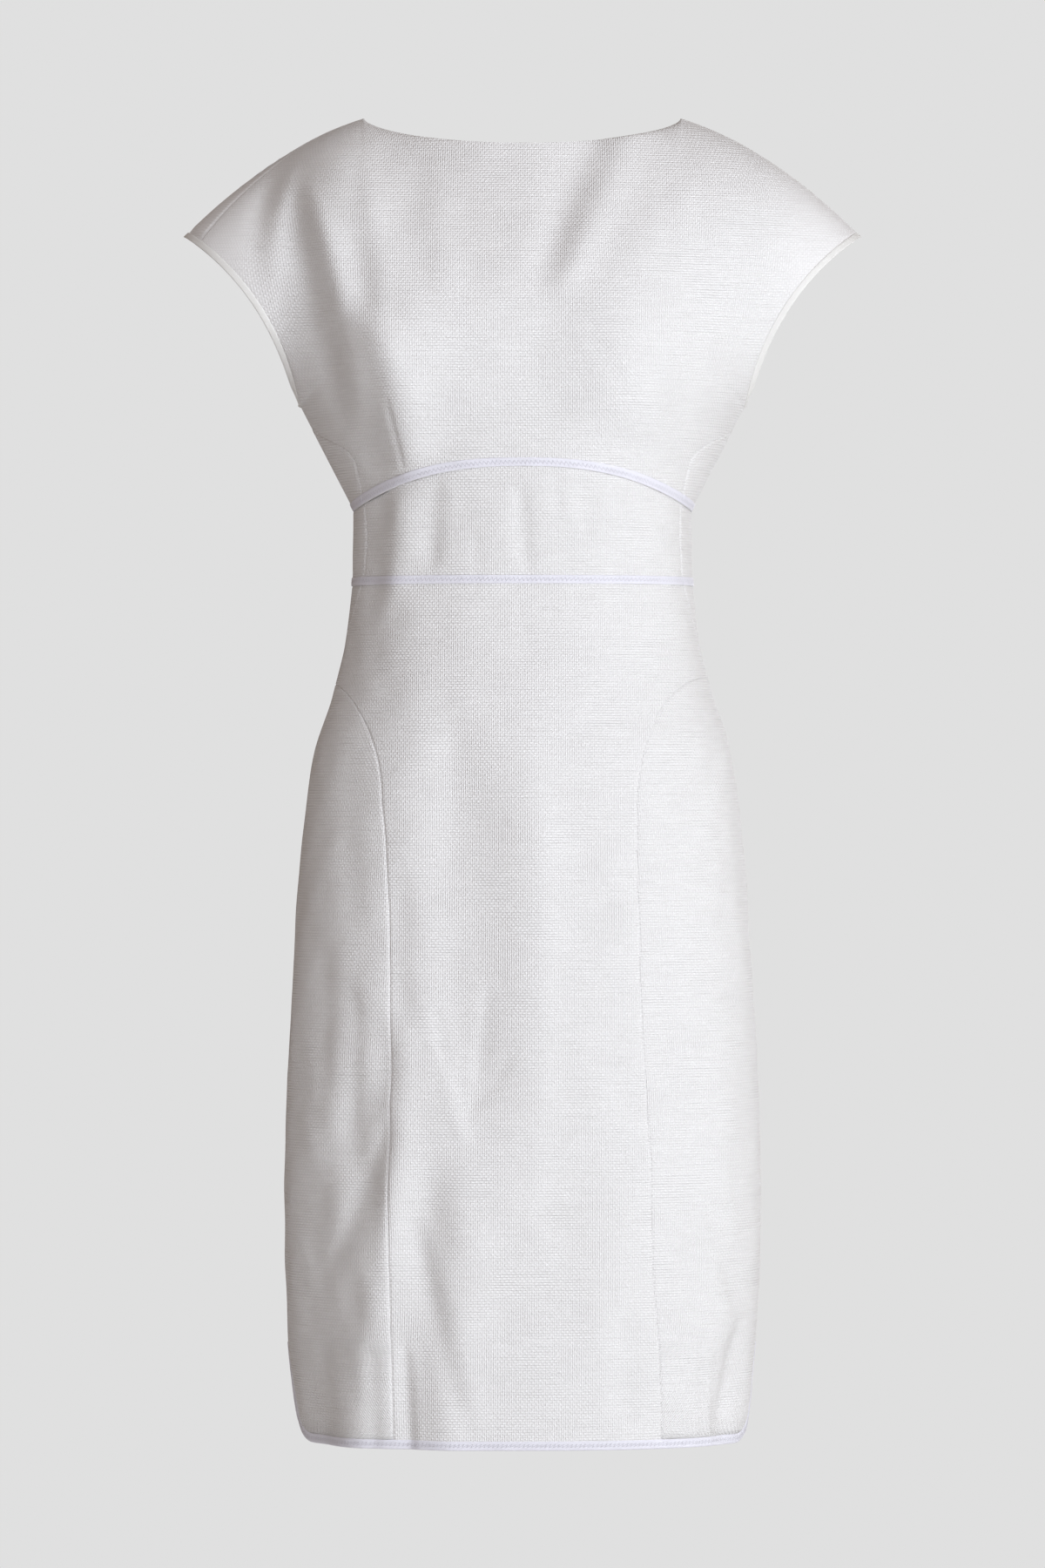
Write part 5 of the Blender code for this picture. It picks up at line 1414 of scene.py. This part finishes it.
def ribbed_tape(name, light, deep, stitched=True):
    made, tree, shader = new_material(
        name, Roughness=0.65, Specular_IOR_Level=0.25, Sheen_Weight=0.10)
    uv, along, across = uv_axes(tree)
    slant = math_node(tree, "ADD", along, across)
    rib = math_node(tree, "ABSOLUTE", wave(tree, slant, RIB))
    spots = stretched_noise(tree, uv, *TAPE_SPOTS)
    stitch = zigzag(tree, along, across) if stitched else 0.0
    # the colour: painted light on the rib, the tape's own spotty tone
    tone_and_painted_shade = math_node(tree, "ADD", math_node(tree, "MULTIPLY", rib, RIB_PAINTED_LIGHT),
                     math_node(tree, "MULTIPLY", spots, SPOT_TONE))
    if stitched:
        # painted shade where the stitch pulls the tape down
        stitch_painted_shade = math_node(tree, "MULTIPLY", stitch, STITCH_PAINTED_SHADE)
        tone_and_painted_shade = math_node(tree, "SUBTRACT", tone_and_painted_shade, stitch_painted_shade)
    tree.links.new(mix_colour(tree, tone_and_painted_shade, deep, light), shader.inputs["Base Color"])
    height = math_node(tree, "SUBTRACT", math_node(tree, "MULTIPLY", rib, RIB_SHARE), stitch)
    bump(tree, shader, height, 0.9, TAPE_RELIEF)
    return made


def lacquered_metal(name, colour):
    made, tree, shader = new_material(name, Base_Color=(*colour, 1.0))
    place = tree.nodes.new("ShaderNodeTexCoord").outputs["Object"]
    spots = stretched_noise(tree, place, *LACQUER_SPOTS)
    ramp = tree.nodes.new("ShaderNodeMapRange")
    ramp.inputs["To Min"].default_value, ramp.inputs["To Max"].default_value = LACQUER
    tree.links.new(spots, ramp.inputs["Value"])
    tree.links.new(ramp.outputs[0], shader.inputs["Roughness"])
    return made


def woven_zip_tape(name, light, deep):
    made, tree, shader = new_material(name, Roughness=0.7)
    place = tree.nodes.new("ShaderNodeTexCoord").outputs["Object"]
    weave = stretched_noise(tree, place, *ZIP_WEAVE)
    tree.links.new(mix_colour(tree, weave, deep, light), shader.inputs["Base Color"])
    bump(tree, shader, weave, 0.4, ZIP_RELIEF)
    return made


tape_finish = ribbed_tape("cool_white_tape", (0.86, 0.85, 0.92), (0.70, 0.69, 0.76))
edge_finish = ribbed_tape("turned_edge", (0.83, 0.82, 0.80), (0.74, 0.73, 0.71), False)
metal = lacquered_metal("zip_metal", (0.80, 0.79, 0.77))
zip_tape = woven_zip_tape("zip_tape", (0.86, 0.85, 0.88), (0.66, 0.65, 0.68))

# %% [markdown]
# ## Riding on the bodies
#
# Every piece moves with a body of the model and stands for the solid it was laid on, which
# stays in place, out of sight, for its collision. The table also lists, for each piece, the
# flat size that it was cut to; nothing here reads it. The zip's tape and slider keep their
# solids and only take better finishes, and its teeth are added.

# %% What each piece stands for
Stand = namedtuple("Stand", "piece node slot finish flat area")
STRIP_CUT = 0.0100           # the strips are cut this wide; what shows is narrower


def strip(piece, node, length, width, slot="tape", finish=tape_finish):
    return Stand(piece, node, slot, finish, (length, STRIP_CUT), length * width)


STANDS = [
    Stand("front_bodice_cloth", "front_bodice", "cloth", cloth, (0.560, 0.300), 0.1214),
    Stand("midriff_cloth_front", "midriff_front", "cloth", cloth, (0.300, 0.090), 0.0219),
    Stand("skirt_cloth_front", "skirt_front", "cloth", cloth, (0.310, 0.650), 0.1371),
    Stand("skirt_cloth_side_left", "skirt_side_left", "cloth", cloth, (0.170, 0.570), 0.0757),
    Stand("skirt_cloth_side_right", "skirt_side_right", "cloth", cloth, (0.160, 0.570), 0.0707),
    strip("bust_tape_strip_front", "bust_tape_front", 0.350, TAPE_WIDTH),
    strip("waist_tape_strip_front", "waist_tape_front", 0.310, TAPE_WIDTH),
    strip("hem_tape_front", "hem_binding_front", 0.620, BINDING_WIDTH),
    strip("hem_tape_back", "hem_binding_back", 0.620, BINDING_WIDTH),
]
for name in SIDE_NAMES.values():
    STANDS += [
        Stand(f"back_bodice_cloth_{name}", f"back_bodice_{name}", "cloth", cloth,
              (0.290, 0.290), 0.0700),
        Stand(f"midriff_cloth_back_{name}", f"midriff_back_{name}", "cloth", cloth,
              (0.220, 0.060), 0.0124),
        Stand(f"skirt_cloth_back_{name}", f"skirt_back_{name}", "cloth", cloth,
              (0.290, 0.640), 0.1484),
        strip(f"bust_tape_strip_back_{name}", f"bust_tape_back_{name}", 0.280, TAPE_WIDTH),
        strip(f"waist_tape_strip_back_{name}", f"waist_tape_back_{name}", 0.240, TAPE_WIDTH),
        strip(f"sleeve_edge_band_{name}", f"sleeve_band_{name}", 0.500, SLEEVE_BAND_WIDTH,
              "cloth", edge_finish),
    ]
for stand in STANDS:
    made = pieces[stand.piece]
    made.data.materials.append(stand.finish)
    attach(made, "dress")
    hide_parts(stand.node)
for piece, body in (("zip_teeth", "dress"), ("zip_pull_tab", "pull_tab")):
    pieces[piece].data.materials.append(metal)
    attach(pieces[piece], body)
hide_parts("zip_pull")
for node, finish in (("zip_chain", zip_tape), ("zip_slider", metal)):
    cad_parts[node].data.materials.clear()
    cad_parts[node].data.materials.append(finish)
print("pieces that stand for a solid:", len(STANDS))

# %% [markdown]
# ## Floor, light and camera
#
# The photo is a studio picture on an even pale grey. Its main light comes from the right of
# the picture and leaves the left side of the dress in shade, where a weak warm fill lights
# it. A wide front light, a weak one from above and one from the side soften that, and one
# behind lights the back for views from there. The camera stands level with the middle of
# the dress, six metres away, so that its picture shows the garment at the photo's scale.

# %% Floor and backdrop colour
PALE_GREY = 0.745
FLOOR_Z = HEM_Z - 0.50
FLOOR_HALF = 3.2


def make_floor():
    bm = bmesh.new()
    bmesh.ops.create_grid(bm, x_segments=1, y_segments=1, size=FLOOR_HALF)
    bmesh.ops.translate(bm, verts=bm.verts[:], vec=(0, 0, FLOOR_Z))
    floor = object_from(bm, "floor")
    grey = (PALE_GREY, PALE_GREY, PALE_GREY, 1.0)
    floor.data.materials.append(new_material("pale_floor", Base_Color=grey, Roughness=0.9)[0])


make_floor()

# %% World: even grey to the eye, a weaker warm fill to the cloth
FILL = (0.205, 0.158, 0.126)


def make_world():
    world = bpy.data.worlds.new("studio")
    bpy.context.scene.world = world
    world.use_nodes = True
    tree = world.node_tree
    tree.nodes.clear()
    output = tree.nodes.new("ShaderNodeOutputWorld")
    seen = tree.nodes.new("ShaderNodeBackground")
    seen.inputs["Color"].default_value = (PALE_GREY, PALE_GREY, PALE_GREY, 1.0)
    fill = tree.nodes.new("ShaderNodeBackground")
    fill.inputs["Color"].default_value = (*FILL, 1.0)
    path = tree.nodes.new("ShaderNodeLightPath")
    choose = tree.nodes.new("ShaderNodeMixShader")
    tree.links.new(path.outputs["Is Camera Ray"], choose.inputs["Fac"])
    tree.links.new(fill.outputs[0], choose.inputs[1])
    tree.links.new(seen.outputs[0], choose.inputs[2])
    tree.links.new(choose.outputs[0], output.inputs["Surface"])


make_world()

# %% Lights
MIDDLE = Vector((0.0, 0.0, -0.5))
Lamp = namedtuple("Lamp", "name place size power colour")
LAMPS = (
    Lamp("key", (2.57, -3.06, -0.3), 1.3, 91.0, (0.905, 0.955, 1.0)),
    Lamp("front", (0.0, -3.86, 0.54), 2.4, 56.0, (0.87, 0.925, 1.0)),
    Lamp("top", (0.9, -1.6, 3.0), 2.4, 16.0, (0.87, 0.925, 1.0)),
    Lamp("side", (3.86, 1.04, -0.5), 2.4, 18.0, (0.95, 0.985, 1.0)),
    Lamp("back", (0.6, 4.00, 0.4), 2.4, 120.0, (0.93, 0.965, 1.0)),
)
for lamp in LAMPS:
    light = bpy.data.lights.new(lamp.name, "AREA")
    light.size = lamp.size
    light.energy = lamp.power
    light.color = lamp.colour
    holder = link_object(lamp.name, light)
    holder.location = lamp.place
    holder.rotation_euler = (MIDDLE - Vector(lamp.place)).to_track_quat("-Z", "Y").to_euler()

# %% Camera
CAMERA_DISTANCE = 6.0
CAMERA_Z = -0.5004
PHOTO_HEIGHT = 1800
PIXELS_A_METRE = 1526.7
SENSOR = 36.0
camera_data = bpy.data.cameras.new("camera")
camera_data.sensor_fit = "AUTO"
camera_data.sensor_width = SENSOR
camera_data.lens = SENSOR * CAMERA_DISTANCE / (PHOTO_HEIGHT / PIXELS_A_METRE)
camera = link_object("camera", camera_data)
camera.location = (0.0, -CAMERA_DISTANCE, CAMERA_Z)
camera.rotation_euler = (np.pi / 2, 0.0, 0.0)
bpy.context.scene.camera = camera
bpy.context.scene.view_settings.view_transform = "Standard"
print("lens:", round(camera_data.lens, 1), "mm")
